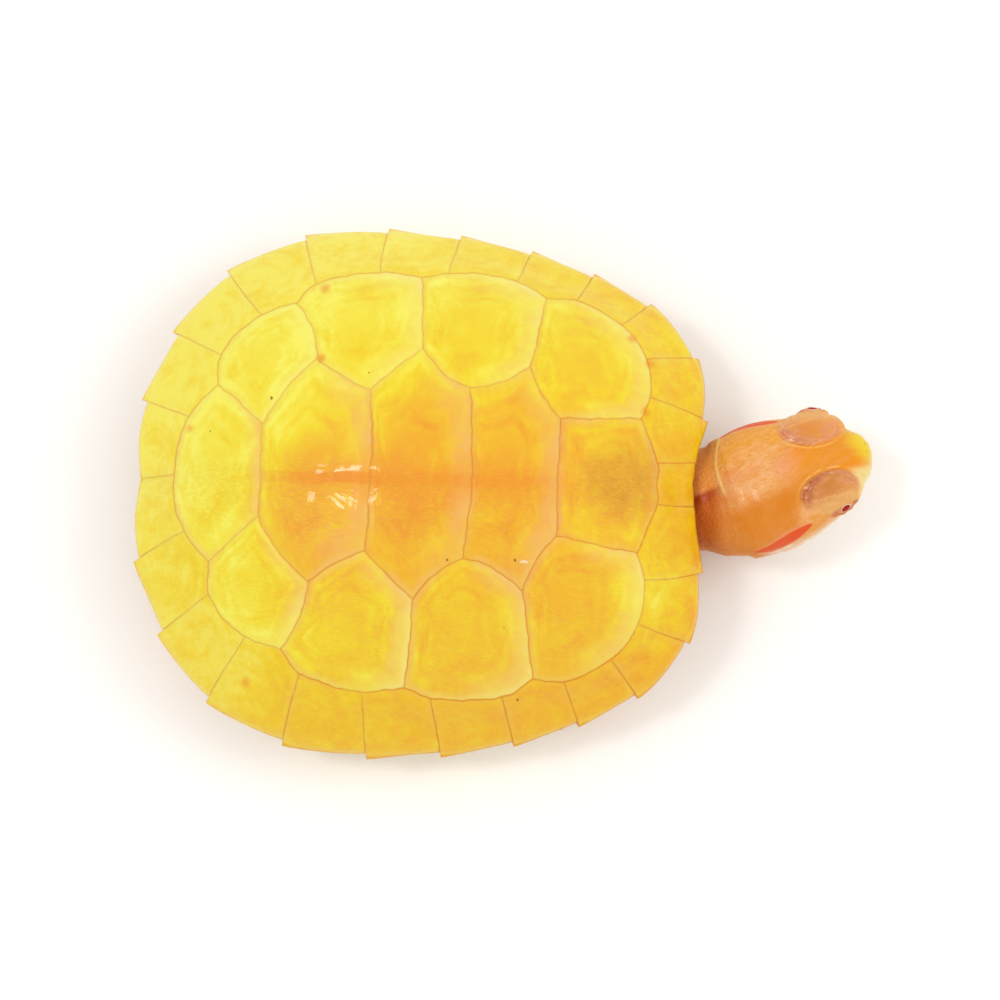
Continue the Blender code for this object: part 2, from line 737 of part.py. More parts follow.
def main():
    clear_scene()
    yellow = material("shell_yellow", YELLOW, 0.45)
    orange = material("shell_orange", ORANGE, 0.45)
    cream = material("plastron_cream", CREAM, 0.5)
    skin = material("skin", SKIN, 0.5)
    red = material("eye", EYE_RED, 0.1)

    for number in range(1, 6):
        scute(f"vertebral_scute_{number}", vertebral_outline(number), orange)
    for side, word in ((1, "left"), (-1, "right")):
        for number in range(1, 5):
            outline = [(f, s * side) for f, s in costal_outline(number)]
            scute(f"costal_scute_{word}_{number}", outline, yellow)
        for number in range(1, 13):
            outer = [a[0] * side for a in MARGINAL_SEAMS[number - 1:number + 1]]
            inner = [a[1] * side for a in MARGINAL_SEAMS[number - 1:number + 1]]
            rim_piece(f"marginal_scute_{word}_{number}", outer, inner, marginal_teeth, yellow)
        for plate_name, corners in plastron_outlines().items():
            plastral_scute(f"{plate_name}_scute_{word}", [(f, s * side) for f, s in corners], cream)
    rim_piece("nuchal_scute", (-MARGINAL_SEAMS[0][0], MARGINAL_SEAMS[0][0]),
              (-MARGINAL_SEAMS[0][1], MARGINAL_SEAMS[0][1]), nuchal_teeth, yellow, 3)

    trunk = trunk_solid(skin)
    combine(trunk, cutter("front_pocket", *FRONT_POCKET), "DIFFERENCE")
    combine(trunk, cutter("rear_pocket", *REAR_POCKET), "DIFFERENCE")

    head = head_solid(skin)
    for side, word in ((1, "left"), (-1, "right")):
        centre = head_point(*eye_centre(side))
        ball(f"eye_{word}", centre, EYE_RADIUS * MM, red)
        socket = hide_guide(ball(f"socket_{word}", centre, EYE_RADIUS * MM + GAP, None))
        combine(head, socket, "DIFFERENCE")
        combine(head, lid_opening(f"lid_opening_{word}", side), "DIFFERENCE")
    head_axis = Vector((math.sin(HEAD_TURN), -math.cos(HEAD_TURN), 0))
    tube("neck", NECK_STATIONS, skin, 20, head_axis)
    tube("tail", TAIL_PATH, skin, 10)
    for word, path in (("left", FORELEG_PATH), ("right", other_side(FORELEG_PATH))):
        leg(f"foreleg_{word}", path, 5, skin)
    for word, path in (("left", HINDLEG_PATH), ("right", other_side(HINDLEG_PATH))):
        leg(f"hindleg_{word}", path, 4, skin)


main()
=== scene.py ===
# Red-eared slider turtle, a young amelanistic animal at rest: its skin, shell plates, eyes and
# claws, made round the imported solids. Metres, +Z up; it faces -Y and its left side is +X.
import math
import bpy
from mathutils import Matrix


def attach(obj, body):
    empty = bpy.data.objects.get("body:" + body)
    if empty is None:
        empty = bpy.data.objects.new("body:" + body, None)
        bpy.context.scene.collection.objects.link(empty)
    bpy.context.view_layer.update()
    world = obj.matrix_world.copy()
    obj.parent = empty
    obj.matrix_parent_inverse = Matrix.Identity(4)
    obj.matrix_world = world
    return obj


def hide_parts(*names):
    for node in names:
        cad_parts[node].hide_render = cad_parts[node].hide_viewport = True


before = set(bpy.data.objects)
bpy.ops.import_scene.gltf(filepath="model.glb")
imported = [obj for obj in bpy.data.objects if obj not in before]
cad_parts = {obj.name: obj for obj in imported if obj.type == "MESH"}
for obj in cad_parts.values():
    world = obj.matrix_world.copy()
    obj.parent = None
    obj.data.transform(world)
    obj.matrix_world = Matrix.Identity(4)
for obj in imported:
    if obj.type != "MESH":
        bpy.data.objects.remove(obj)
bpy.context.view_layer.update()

from types import SimpleNamespace

import bmesh
import bpy
import numpy as np
from mathutils import Matrix, Vector, noise

mm = 0.001


def smoothCurve(points, x):
    # smooth curve through (x, value) points, flat beyond the ends
    px, py = np.array(points, float).T
    x = np.clip(np.asarray(x, float), px[0], px[-1])
    slope = np.empty_like(py)
    slope[1:-1] = (py[2:] - py[:-2]) / (px[2:] - px[:-2])
    slope[0] = (py[1] - py[0]) / (px[1] - px[0])
    slope[-1] = (py[-1] - py[-2]) / (px[-1] - px[-2])
    i = np.clip(np.searchsorted(px, x, side="right") - 1, 0, len(px) - 2)
    h = px[i + 1] - px[i]
    t = (x - px[i]) / h
    return ((2 * t**3 - 3 * t**2 + 1) * py[i] + (t**3 - 2 * t**2 + t) * h * slope[i]
            + (3 * t**2 - 2 * t**3) * py[i + 1] + (t**3 - t**2) * h * slope[i + 1])


def easeIn(x, low, high):
    # 0 below low, 1 above high, smooth between
    t = np.clip((np.asarray(x, float) - low) / (high - low), 0, 1)
    return t * t * (3 - 2 * t)


def hill(x, width):
    return np.exp(-(x / width) ** 2)


def unit(v):
    return v / np.maximum(np.linalg.norm(v, axis=-1, keepdims=True), 1e-12)


def addMasks(mesh, masks):
    for key, values in masks.items():
        values = np.asarray(values, np.float32)
        kind = "FLOAT" if values.ndim == 1 else "FLOAT_VECTOR"
        field = mesh.attributes.new(key, kind, "POINT")
        field.data.foreach_set("value" if values.ndim == 1 else "vector", values.ravel())


def addMesh(name, points, faces, masks=None):
    mesh = bpy.data.meshes.new(name)
    mesh.from_pydata(np.asarray(points).tolist(), [], faces)
    addMasks(mesh, masks or {})
    mesh.shade_smooth()
    made = bpy.data.objects.new(name, mesh)
    bpy.context.scene.collection.objects.link(made)
    return made


def outwards(made):
    # turn every face outwards
    data = bmesh.new()
    data.from_mesh(made.data)
    bmesh.ops.recalc_face_normals(data, faces=data.faces)
    data.to_mesh(made.data)
    data.free()
    return made


def ringFaces(rings, count):
    # quads between rings of points laid one after the other
    faces = []
    for a in range(0, (rings - 1) * count, count):
        for i in range(count):
            j = (i + 1) % count
            faces.append((a + i, a + j, a + count + j, a + count + i))
    return faces


def flatEnded(rings):
    # points and faces of a closed body from its rings, flat at both ends
    count = len(rings[0])
    points = np.concatenate(rings)
    faces = ringFaces(len(rings), count)
    faces += [tuple(range(count))[::-1], tuple(range(len(points) - count, len(points)))]
    return points, faces


def pointEnded(points, count, ends):
    # the same from rings laid one after the other, closed round a middle point at each end
    total = len(points)
    faces = ringFaces(total // count, count)
    faces += [((i + 1) % count, i, total) for i in range(count)]
    faces += [(total - count + i, total - count + (i + 1) % count, total + 1) for i in range(count)]
    return np.concatenate([points, ends]), faces


# the shell's shape, in halves of its length: forward, left, up
shell = {
    "half": 0.030,              # half the carapace's length
    "centreY": 0.0089,          # the shell's centre
    "domeTop": 0.815,
    "domePower": 0.85,          # 1 is a parabola, less is boxier
    "rimSide": 0.271,
    "rimFront": 0.100,
    "rimRear": 0.030,
    "keelRise": 0.012,
    "keelWidth": 0.050,
    "keelFade": (0.5, 0.9),
    "rimShape": ((0, 0.957), (8, 0.980), (15, 1.020), (24, 1.066), (36, 1.062), (46, 1.016), (57, 0.968),
                 (70, 0.932), (85, 0.917), (96, 0.929), (108, 0.965), (124, 1.010), (138, 1.030),
                 (155, 1.013), (170, 1.000), (180, 0.957)),
    "innerLine": ((0.0, 0.851), (5.1, 0.847), (17.0, 0.764), (21.8, 0.795), (30.8, 0.836), (40.4, 0.855),
                  (51.7, 0.853), (57.4, 0.805), (66.5, 0.838), (84.0, 0.805), (91.1, 0.772),
                  (102.4, 0.783), (119.2, 0.769), (126.3, 0.728), (135.3, 0.767), (149.1, 0.790),
                  (156.3, 0.754), (165.9, 0.809), (180.0, 0.875)),
    "costalEnds": (17.0, 57.4, 91.1, 126.3, 156.3),
    "marginalSeams": ((4.5, 5.1), (15.1, 21.8), (27.7, 30.8), (41.4, 40.4), (53.6, 51.7), (67.3, 66.5),
                      (83.0, 84.0), (98.8, 102.4), (116.0, 119.2), (132.9, 135.3), (148.9, 149.1),
                      (163.8, 165.9), (180.0, 180.0)),
    "keelDrift": ((-0.95, 0.006), (-0.50, -0.008), (0.00, -0.013), (0.47, 0.008), (0.81, 0.026),
                  (0.96, 0.053)),
    "driftWidth": 0.20,
    "crest": ((-0.50, 0.004), (0.10, 0.005), (0.50, 0.010)),
    "waver": 0.0022,            # how far seams wander
    "slopeStep": 0.004,         # how the dome's slope is read: step, and how far inside the rim
    "slopeInset": 0.985,
}
# where vertebrals and costals meet on the left side
v12 = (0.476, 0.201)
v2Side = (0.369, 0.387)
v23 = (0.166, 0.291)
v3Side = (0.006, 0.425)
v34 = (-0.163, 0.275)
v4Side = (-0.352, 0.382)
v45 = (-0.528, 0.160)
bows = {"v12Side": 0.06, "sideV23": 0.10, "v23Side": 0.09, "sideV34": -0.02, "v34Side": 0.05,
        "sideV45": -0.05, "costal3": 0.08, "vertebral": (0.00, 0.035, 0.02, 0.00)}


def toWorld(f, s, z):
    half = shell["half"]
    return np.stack([s * half, shell["centreY"] - f * half, z * half], axis=-1)


def folded(angle):
    return np.abs((np.asarray(angle, float) + 180) % 360 - 180)


def rim(angle):
    return smoothCurve(shell["rimShape"], folded(angle))


def rimHeight(angle):
    forward = np.cos(np.radians(angle))
    return (shell["rimSide"] + shell["rimFront"] * np.maximum(forward, 0) ** 4
            + shell["rimRear"] * np.maximum(-forward, 0) ** 4)


def innerShare(angle):
    # share of the rim's distance where marginals end; it has a cusp at each costal's corner
    angle = np.atleast_1d(folded(angle))
    share = np.zeros_like(angle)
    stops = (0.0, *shell["costalEnds"], 180.0)
    for low, high in zip(stops, stops[1:]):
        run = [p for p in shell["innerLine"] if low <= p[0] <= high]
        inside = (angle >= low) & (angle <= high)
        share[inside] = smoothCurve(run, angle[inside])
    return share


def dome(f, s):
    angle = np.degrees(np.arctan2(s, f))
    share = np.minimum(np.hypot(f, s) / rim(angle), 1)
    base = rimHeight(angle)
    keel = shell["keelRise"] * hill(s, shell["keelWidth"]) * (1 - easeIn(share, *shell["keelFade"]))
    return base + (shell["domeTop"] - base) * (1 - share**2) ** shell["domePower"] + keel


def domeNormal(f, s):
    step = shell["slopeStep"]
    f = f * shell["slopeInset"]
    s = s * shell["slopeInset"]
    slopeF = (dome(f + step, s) - dome(f - step, s)) / (2 * step)
    slopeS = (dome(f, s + step) - dome(f, s - step)) / (2 * step)
    return unit(np.stack([-slopeS, slopeF, np.ones_like(slopeF)], axis=-1))


def drift(f, s):
    # sways the keel and lets the seams wander a little
    edge = 1 - easeIn(np.hypot(f, s), 0.80, 0.90)
    sway = smoothCurve(shell["keelDrift"], f) * hill(s, shell["driftWidth"])
    wave = shell["waver"] * edge
    moveF = wave * (np.sin(s * 21 + f * 9 + 1.0) + 0.6 * np.sin(s * 57 - f * 31)
                    + 0.4 * np.sin(s * 133 + f * 40))
    moveS = wave * (np.sin(f * 23 - s * 12) + 0.6 * np.sin(f * 61 + s * 28 + 2.0)
                    + 0.4 * np.sin(f * 127 - s * 60))
    return f + moveF, s + sway + moveS


def polarPoint(angle, share):
    radius = rim(angle) * share
    return radius * np.cos(np.radians(angle)), radius * np.sin(np.radians(angle))


outlineStep = 0.0070             # between an outline's points, in halves
innerStep = 0.55                 # between points of the marginals' inner line, in degrees


def seamRun(start, end, bow=0.0):
    # points from start up to, not including, end
    start = np.array(start, float)
    end = np.array(end, float)
    span = end - start
    count = max(4, int(np.linalg.norm(span) / outlineStep))
    t = np.arange(count)[:, None] / count
    side = np.array([-span[1], span[0]])
    return start + span * t + side * 4 * t * (1 - t) * bow


def innerRun(first, last):
    count = max(4, int(abs(last - first) / innerStep))
    angle = first + (last - first) * np.arange(count) / count
    return np.stack(polarPoint(angle, innerShare(angle)), axis=-1)


def innerCorner(angle):
    return innerRun(angle, angle + 3)[0]


def flipped(point):
    return (point[0], -point[1])


def mirrored(points):
    return points[::-1] * np.array([1, -1])


def costalOutline(number):
    ends = [innerCorner(a) for a in shell["costalEnds"]]
    outer = innerRun(shell["costalEnds"][number - 1], shell["costalEnds"][number])
    if number == 1:
        inner = [seamRun(ends[1], v2Side), seamRun(v2Side, v12, -bows["v12Side"]), seamRun(v12, ends[0])]
    elif number == 2:
        inner = [seamRun(ends[2], v3Side), seamRun(v3Side, v23, -bows["v23Side"]),
                 seamRun(v23, v2Side, -bows["sideV23"]), seamRun(v2Side, ends[1])]
    elif number == 3:
        inner = [seamRun(ends[3], v4Side, bows["costal3"]), seamRun(v4Side, v34, -bows["v34Side"]),
                 seamRun(v34, v3Side, -bows["sideV34"]), seamRun(v3Side, ends[2])]
    else:
        inner = [seamRun(ends[4], v45), seamRun(v45, v4Side, -bows["sideV45"]),
                 seamRun(v4Side, ends[3], -bows["costal3"])]
    return np.concatenate([outer, *inner])


def vertebralOutline(number):
    ends = shell["costalEnds"]
    rears = (v12, v23, v34, v45)
    left = {
        1: lambda: [seamRun(innerCorner(ends[0]), v12)],
        2: lambda: [seamRun(v12, v2Side, bows["v12Side"]), seamRun(v2Side, v23, bows["sideV23"])],
        3: lambda: [seamRun(v23, v3Side, bows["v23Side"]), seamRun(v3Side, v34, bows["sideV34"])],
        4: lambda: [seamRun(v34, v4Side, bows["v34Side"]), seamRun(v4Side, v45, bows["sideV45"])],
        5: lambda: [seamRun(v45, innerCorner(ends[4]))],
    }[number]()
    left = np.concatenate(left)
    right = mirrored(left[1:])
    if number == 5:
        back = innerRun(ends[4], 360 - ends[4])
        end = np.array([flipped(innerCorner(ends[4]))])
        front = seamRun(flipped(v45), v45, -bows["vertebral"][3])
        return np.concatenate([left, back, end, right, front])
    rear = rears[number - 1]
    back = np.concatenate([seamRun(rear, flipped(rear), bows["vertebral"][number - 1]),
                           np.array([flipped(rear)])])
    if number == 1:
        return np.concatenate([innerRun(-ends[0], ends[0]), left, back, right])
    front = seamRun(flipped(rears[number - 2]), rears[number - 2], -bows["vertebral"][number - 2])
    return np.concatenate([left, back, right, front])


def signedArea(outline):
    after = np.roll(outline, -1, axis=0)
    return (outline[:, 0] * after[:, 1] - after[:, 0] * outline[:, 1]).sum() / 2


def shrunk(outline, distance):
    # a counter-clockwise outline with its sides moved inwards
    here = outline
    before = unit(here - np.roll(here, 1, axis=0))
    after = unit(np.roll(here, -1, axis=0) - here)
    normalA = np.stack([-before[:, 1], before[:, 0]], axis=-1)
    normalB = np.stack([-after[:, 1], after[:, 0]], axis=-1)
    middle = unit(normalA + normalB)
    reach = distance / np.maximum((middle * normalA).sum(1), 0.5)
    return here + middle * reach[:, None]


def edgeDistance(points, outline):
    # shortest distance from each point to a closed outline
    a = outline
    b = np.roll(outline, -1, axis=0)
    span = b - a
    best = np.full(len(points), 1e9)
    for start in range(0, len(points), 2000):
        p = points[start:start + 2000, None, :]
        t = np.clip(((p - a) * span).sum(-1) / np.maximum((span * span).sum(-1), 1e-12), 0, 1)
        away = np.linalg.norm(p - (a + span * t[..., None]), axis=-1)
        best[start:start + 2000] = away.min(1)
    return best


plates = {
    "gap": 0.000005,            # between neighbouring plates
    "thickness": 0.0009,
    "edgeRound": 0.000014,      # radius of a plate's upper edge
    "valleyDepth": 0.00004,     # how far the surface sinks towards a seam
    "valleyWidth": 0.00050,
    "pillow": 0.00006,          # how much more it sinks from the middle to the edge
    "step": 0.00022,            # between rings of points
    "ridge": 0.00005,           # height of the fine crest along the keel
    "ridgeWidth": 0.009,
    "growthRidge": 0.000012,    # height of the growth ridges
    "wrinkle": 0.000008,        # height of the folds running out from the middle of growth
    # distances of the first rings of points from the edge
    "edgeRings": (0, 0.000008, 0.00002, 0.00005, 0.0001, 0.00017, 0.00026, 0.00038, 0.0006),
    "leastDepth": 0.000002,
    # rings of the underside: share of the outline, share of the thickness
    "under": ((1, 0.35), (1, 0.7), (0.995, 1), (0.8, 1), (0.55, 1), (0.25, 1)),
}


def sink(distance, ring):
    # how far a plate's surface lies under the smooth shell, for a distance to the seam in metres
    radius = plates["edgeRound"]
    inside = np.clip(radius - distance, 0, radius)
    rounding = radius - np.sqrt(np.maximum(radius**2 - inside**2, 0))
    return (rounding + plates["valleyDepth"] * hill(distance, plates["valleyWidth"])
            + plates["pillow"] * ring**4)


def ripple(values, seed):
    # irregular waves along one number, about -1 to 1
    return (np.sin(values * 6.3 + seed) + 0.7 * np.sin(values * 10.1 + seed * 2.3)
            + 0.5 * np.sin(values * 17.7 + seed * 3.1)) / 2.2


def scuteRelief(flat, ring, way):
    # growth ridges, folds running outwards, and the crest along the keel, above the plain surface
    turn = np.arctan2(way[:, 1], way[:, 0])
    seed = float(flat[:, 0].mean() * 40 + flat[:, 1].mean() * 17)
    ridges = ripple(ring * 5.2 + 0.10 * np.sin(turn * 3 + seed), seed) * easeIn(ring, 0.3, 0.6)
    folds = ripple(turn * 5.3 + 0.3 * ring, seed * 1.7) * easeIn(ring, 0.35, 0.7)
    f, s = drift(flat[:, 0], flat[:, 1])
    crest = hill(s - smoothCurve(shell["crest"], f), plates["ridgeWidth"])
    crest = crest * easeIn(f, -0.52, -0.36) * (1 - easeIn(f, 0.40, 0.56))
    crest = crest * (0.75 + 0.25 * np.sin(f * 37 + 1))
    inside = 1 - easeIn(ring, 0.93, 1.0)
    return (plates["growthRidge"] * ridges + plates["wrinkle"] * folds) * inside + plates["ridge"] * crest


def plateRings(outline, centre):
    # shares of the way from the centre to the outline, close together at the edge
    radius = np.linalg.norm(outline - centre, axis=1).mean() * shell["half"]
    near = plates["edgeRings"]
    far = np.arange(near[-1] + plates["step"], radius * 0.97, plates["step"])
    return 1 - np.concatenate([near, far]) / radius


def plate(name, outline, centre, place, relief=None):
    # a plate over an outline; place gives world points for plan points and a depth under the surface
    half = shell["half"]
    if signedArea(outline) < 0:
        outline = outline[::-1]
    outline = shrunk(outline, plates["gap"] / 2 / half)
    centre = np.array(centre, float)
    shares = plateRings(outline, centre)
    count = len(outline)
    flat = np.concatenate([centre + (outline - centre) * share for share in shares] + [centre[None]])
    ring = np.concatenate([np.repeat(shares, count), [0.0]])
    away = edgeDistance(flat, outline) * half
    away[:count] = 0
    spoke = flat - centre
    length = np.maximum(np.linalg.norm(spoke, axis=1), 1e-9)[:, None]
    depth = sink(away, ring)
    if relief is not None:
        depth = np.maximum(depth - relief(flat, ring, spoke / length), plates["leastDepth"])
    lower = []
    for share, level in plates["under"]:
        lower.append(place(centre + (outline - centre) * share, np.full(count, plates["thickness"] * level)))
    bottomPoint = place(centre[None], np.array([plates["thickness"]]))
    points = np.concatenate([place(flat, depth), *lower, bottomPoint])
    # the top with its middle point, the wall, and the underside with its own
    faces = ringFaces(len(shares), count)
    middle = len(shares) * count
    first = middle + 1
    last = len(points) - 1 - count
    faces += [(middle - count + i, middle - count + (i + 1) % count, middle) for i in range(count)]
    faces += [(i, first + i, first + (i + 1) % count, (i + 1) % count) for i in range(count)]
    faces += [tuple(first + k for k in face) for face in ringFaces(len(lower), count)]
    faces += [(last + i, last + (i + 1) % count, len(points) - 1)[::-1] for i in range(count)]
    masks = {
        "seam": (away / mm, 0.0),
        "ring": (ring, 1.0),
        "spoke": (np.concatenate([spoke / length, length * half / mm], axis=1), (1.0, 0.0, 0.0)),
        "plan": (np.concatenate([flat, np.zeros((len(flat), 1))], axis=1), (*centre, 0.0)),
    }
    # the wall and the underside have one value
    extra = len(points) - len(flat)
    masks = {key: np.concatenate([top, np.array([rest] * extra)]) for key, (top, rest) in masks.items()}
    return outwards(addMesh(name, points, faces, masks))


def onCarapace(flat, depth):
    f, s = drift(flat[:, 0], flat[:, 1])
    return toWorld(f, s, dome(f, s)) - domeNormal(f, s) * np.asarray(depth)[:, None]


# middle of growth on each plate, towards its rear, as a shift from its centroid: forward, left
growth = {"costal": ((-0.06, -0.02), (-0.055, -0.02), (-0.055, -0.02), (-0.03, 0.0)),
          "vertebral": ((0.00, 0.0), (-0.075, 0.0), (-0.070, 0.0), (-0.065, 0.0), (-0.03, 0.0))}


def centroid(outline):
    after = np.roll(outline, -1, axis=0)
    cross = outline[:, 0] * after[:, 1] - after[:, 0] * outline[:, 1]
    return ((outline + after) * cross[:, None]).sum(0) / (3 * cross.sum())


marginal = {
    "tooth": 0.018,             # how far each rear corner stands out
    "toothMean": 0.55,
    "nuchalInset": 0.012,
    "edgeRadius": 0.00030,      # of the rim's blunt edge
    "lipOut": 0.00010,          # how far the lower lip stands out under each rear corner
    "flare": 0.00030,           # how far the upper face is hollowed
    "lipDrop": 0.022,
    "bridgeDrop": 0.122,
    "lower": ((0.8, 0.930), (0.5, 0.850)),
    "bridgeRange": (48, 62, 112, 126),
    "seamSteps": (0.00004, 0.00009, 0.00015),       # columns of points beside each seam
    "rows": (0, 0.006, 0.013, 0.022, *np.linspace(0.04, 0.965, 26)),        # shares of the upper face
    "edgeTurns": (48, 70, 90, 110, 135, 160, 180),  # round the blunt edge, in degrees
    "lipColumns": (0.35, 0.95),     # the lip rises between these shares of a plate's width
    "lipRange": (75, 95, 150, 172),
    "growthMiddle": 0.62,           # share of the upper face
}


def bridgeShare(angle):
    start, full, fading, end = marginal["bridgeRange"]
    return easeIn(folded(angle), start, full) * (1 - easeIn(folded(angle), fading, end))


def catmull(knots, steps):
    # points of a smooth line through rows of knots; knots is (knots, anything, 3)
    knots = np.asarray(knots, float)
    ends = np.concatenate([[2 * knots[0] - knots[1]], knots, [2 * knots[-1] - knots[-2]]])
    made = []
    for i in range(len(knots) - 1):
        a, b, c, d = ends[i:i + 4]
        for t in np.arange(steps) / steps:
            made.append(0.5 * (2 * b + (c - a) * t + (2 * a - 5 * b + 4 * c - d) * t**2
                               + (3 * b - a - 3 * c + d) * t**3))
    made.append(knots[-1])
    return np.array(made)


def rimColumns(outer, inner, teeth):
    # angles and reach of a rim plate's columns of points, from one seam to the other
    width = abs(outer[1] - outer[0]) * math.pi / 180 * rim(outer[0]) * shell["half"]
    close = np.array(marginal["seamSteps"]) / width
    t = np.sort(np.concatenate([np.linspace(0, 1, int(width / plates["step"]) + 2), close, 1 - close]))
    trim = plates["gap"] / 2 / width
    along = trim + (1 - 2 * trim) * t
    outerAngle = outer[0] + (outer[1] - outer[0]) * along
    innerAngle = inner[0] + (inner[1] - inner[0]) * along
    return SimpleNamespace(
        width=width, t=t, outer=outerAngle, inner=innerAngle,
        rimShare=1 + teeth(t, outerAngle) / rim(outerAngle),
        startShare=innerShare(innerAngle) + plates["gap"] / 2 / shell["half"],
        height=rimHeight(outerAngle), bridge=bridgeShare(outerAngle))


def rimPoints(columns, mix, share, z=None):
    # world and plan points of each column; mix goes from the inner to the outer angle
    f, s = drift(*polarPoint(columns.inner + (columns.outer - columns.inner) * mix, share))
    return toWorld(f, s, dome(f, s) if z is None else z), np.stack([f, s], axis=-1)


def rimRows(columns):
    # rows of points from the inner seam over the blunt edge and back along the underside
    start = columns.startShare
    end = columns.rimShare
    rows = []
    plans = []
    for share in marginal["rows"]:
        reach = start + (end - start) * share
        row, flat = rimPoints(columns, (reach - start) / (1 - start), reach)
        row[:, 2] -= marginal["flare"] * math.sin(math.pi * share) ** 2
        rows.append(row)
        plans.append(flat)
    edge, edgePlan = rimPoints(columns, (end - start) / (1 - start), end, columns.height)
    out = edge - toWorld(np.zeros(1), np.zeros(1), np.zeros(1))
    out[:, 2] = 0
    out = unit(out)
    angle = folded(columns.outer)
    lip = marginal["lipOut"] * easeIn(columns.t, *marginal["lipColumns"])
    lip = lip * easeIn(angle, *marginal["lipRange"][:2]) * (1 - easeIn(angle, *marginal["lipRange"][2:]))
    radius = marginal["edgeRadius"]
    for turn in np.radians(marginal["edgeTurns"]):
        row = edge + out * (radius * (math.sin(turn) - 1) + lip * easeIn(turn, 1.4, 2.2))[:, None]
        row[:, 2] += radius * (math.cos(turn) - 1)
        rows.append(row)
        plans.append(edgePlan)
    upper = len(rows)
    (outMix, outShare), (inMix, inShare) = marginal["lower"]
    low = columns.height - marginal["lipDrop"]
    drop = marginal["bridgeDrop"] * columns.bridge
    rows += list(catmull([rows[-1], rimPoints(columns, outMix, outShare, low - drop / 2 - 0.012)[0],
                          rimPoints(columns, inMix, inShare - 0.008 * columns.bridge, low - drop)[0]], 7)[1:])
    last = rows[-1]
    innerBottom = rows[0] - domeNormal(*plans[0].T) * plates["thickness"]
    rows += [last * (1 - share) + innerBottom * share for share in (0.25, 0.6, 1.0)]
    plans += [edgePlan] * (len(rows) - len(plans))
    return np.array(rows), np.array(plans), edge, upper


def sunkRows(rows, upper):
    # rows sunk towards the inner seam and the side ones, and each point's distance to the nearest of them
    fromInner = np.cumsum(np.linalg.norm(np.diff(rows, axis=0, prepend=rows[:1]), axis=-1), axis=0)
    fromSide = np.minimum(np.linalg.norm(rows - rows[:, :1], axis=-1),
                          np.linalg.norm(rows - rows[:, -1:], axis=-1))
    away = np.minimum(fromInner, fromSide)
    away[upper:] = fromSide[upper:]
    normal = unit(np.cross(np.gradient(rows, axis=1), np.gradient(rows, axis=0)))
    if (normal[5] * (rows[5] - rows.mean(axis=(0, 1)))).sum() < 0:
        normal = -normal
    depth = sink(away, np.zeros_like(away))
    depth[-3:] = 0
    return rows - normal * depth[..., None], away


def rimPlate(name, outer, inner, teeth):
    # a marginal or the nuchal, between two pairs of angles
    columns = rimColumns(outer, inner, teeth)
    rows, plans, edge, upper = rimRows(columns)
    toRim = np.linalg.norm(rows - edge, axis=-1)
    toRim[len(marginal["rows"]) + 3:] *= -1
    rows, away = sunkRows(rows, upper)

    def laid(values):
        # values by row and column, in the points' order
        return np.concatenate(np.swapaxes(values, 0, 1))

    points = laid(rows)
    profile = len(rows)
    points, faces = pointEnded(points, profile, [points[:profile].mean(0), points[-profile:].mean(0)])
    row = rows[int(len(marginal["rows"]) * marginal["growthMiddle"])]
    offset = rows - (row[-1] * 0.75 + row[0] * 0.25)
    reach = np.linalg.norm(offset, axis=-1)
    masks = {
        "seam": (away / mm, 0.0),
        "ring": (np.clip(reach / columns.width, 0, 1.5), 1.0),
        "spoke": (np.concatenate([unit(offset[..., :2]), (reach / mm)[..., None]], axis=-1), (1, 0, 0)),
        "plan": (np.concatenate([plans, np.zeros((*plans.shape[:2], 1))], axis=-1), (0, 0, 0)),
        "rim": (np.clip(toRim / mm, -9, 9), 9.0),
    }
    # the middle points of both ends have a value of their own
    masks = {key: np.concatenate([laid(values), [end, end]]) for key, (values, end) in masks.items()}
    return outwards(addMesh(name, points, faces, masks))


def marginalTeeth(t, angle):
    rearness = easeIn(folded(angle), 95, 150)
    return marginal["tooth"] * (t**2 - marginal["toothMean"] - 0.04 * rearness) * (1 + 0.22 * rearness)


def nuchalTeeth(t, angle):
    return np.full_like(t, -marginal["nuchalInset"])


plastron = {
    "flat": 0.50,               # half width of the flat underside
    "bridgeEdge": 0.745,
    "bridgeRise": 0.122,
    "gular": ((0.830, 0.0), (0.835, 0.090), (0.790, 0.170)),
    "humeralSide": ((0.66, 0.335), (0.52, 0.440)),
    "axilla": (0.420, 0.480),
    "axillaOut": (0.370, 0.600),
    "bridgeAngles": (63, 76, 89, 101, 112),
    "bridgeShare": 0.836,
    "inguinalOut": (-0.400, 0.600),
    "inguinal": (-0.470, 0.480),
    "femoralSide": ((-0.60, 0.445), (-0.740, 0.385)),
    "analRear": ((-0.860, 0.250), (-0.900, 0.140), (-0.830, 0.0)),
    "midlineSeams": (0.620, 0.440, 0.020, -0.370, -0.620),
}


def underside(s):
    return plastron["bridgeRise"] * easeIn(np.abs(s), plastron["flat"], plastron["bridgeEdge"])


def plastronOutlines():
    mid = [(f, 0.0) for f in plastron["midlineSeams"]]
    bridge = [tuple(float(x) for x in polarPoint(a, plastron["bridgeShare"]))
              for a in plastron["bridgeAngles"]]
    gular = plastron["gular"]
    humeral = plastron["humeralSide"]
    femoral = plastron["femoralSide"]
    anal = plastron["analRear"]
    return {
        "gular": [gular[0], gular[1], gular[2], mid[0]],
        "humeral": [mid[0], gular[2], humeral[0], humeral[1], mid[1]],
        "pectoral": [mid[1], humeral[1], plastron["axilla"], plastron["axillaOut"], *bridge[:3], mid[2]],
        "abdominal": [mid[2], *bridge[2:], plastron["inguinalOut"], plastron["inguinal"], mid[3]],
        "femoral": [mid[3], plastron["inguinal"], femoral[0], femoral[1], mid[4]],
        "anal": [mid[4], femoral[1], anal[0], anal[1], anal[2]],
    }


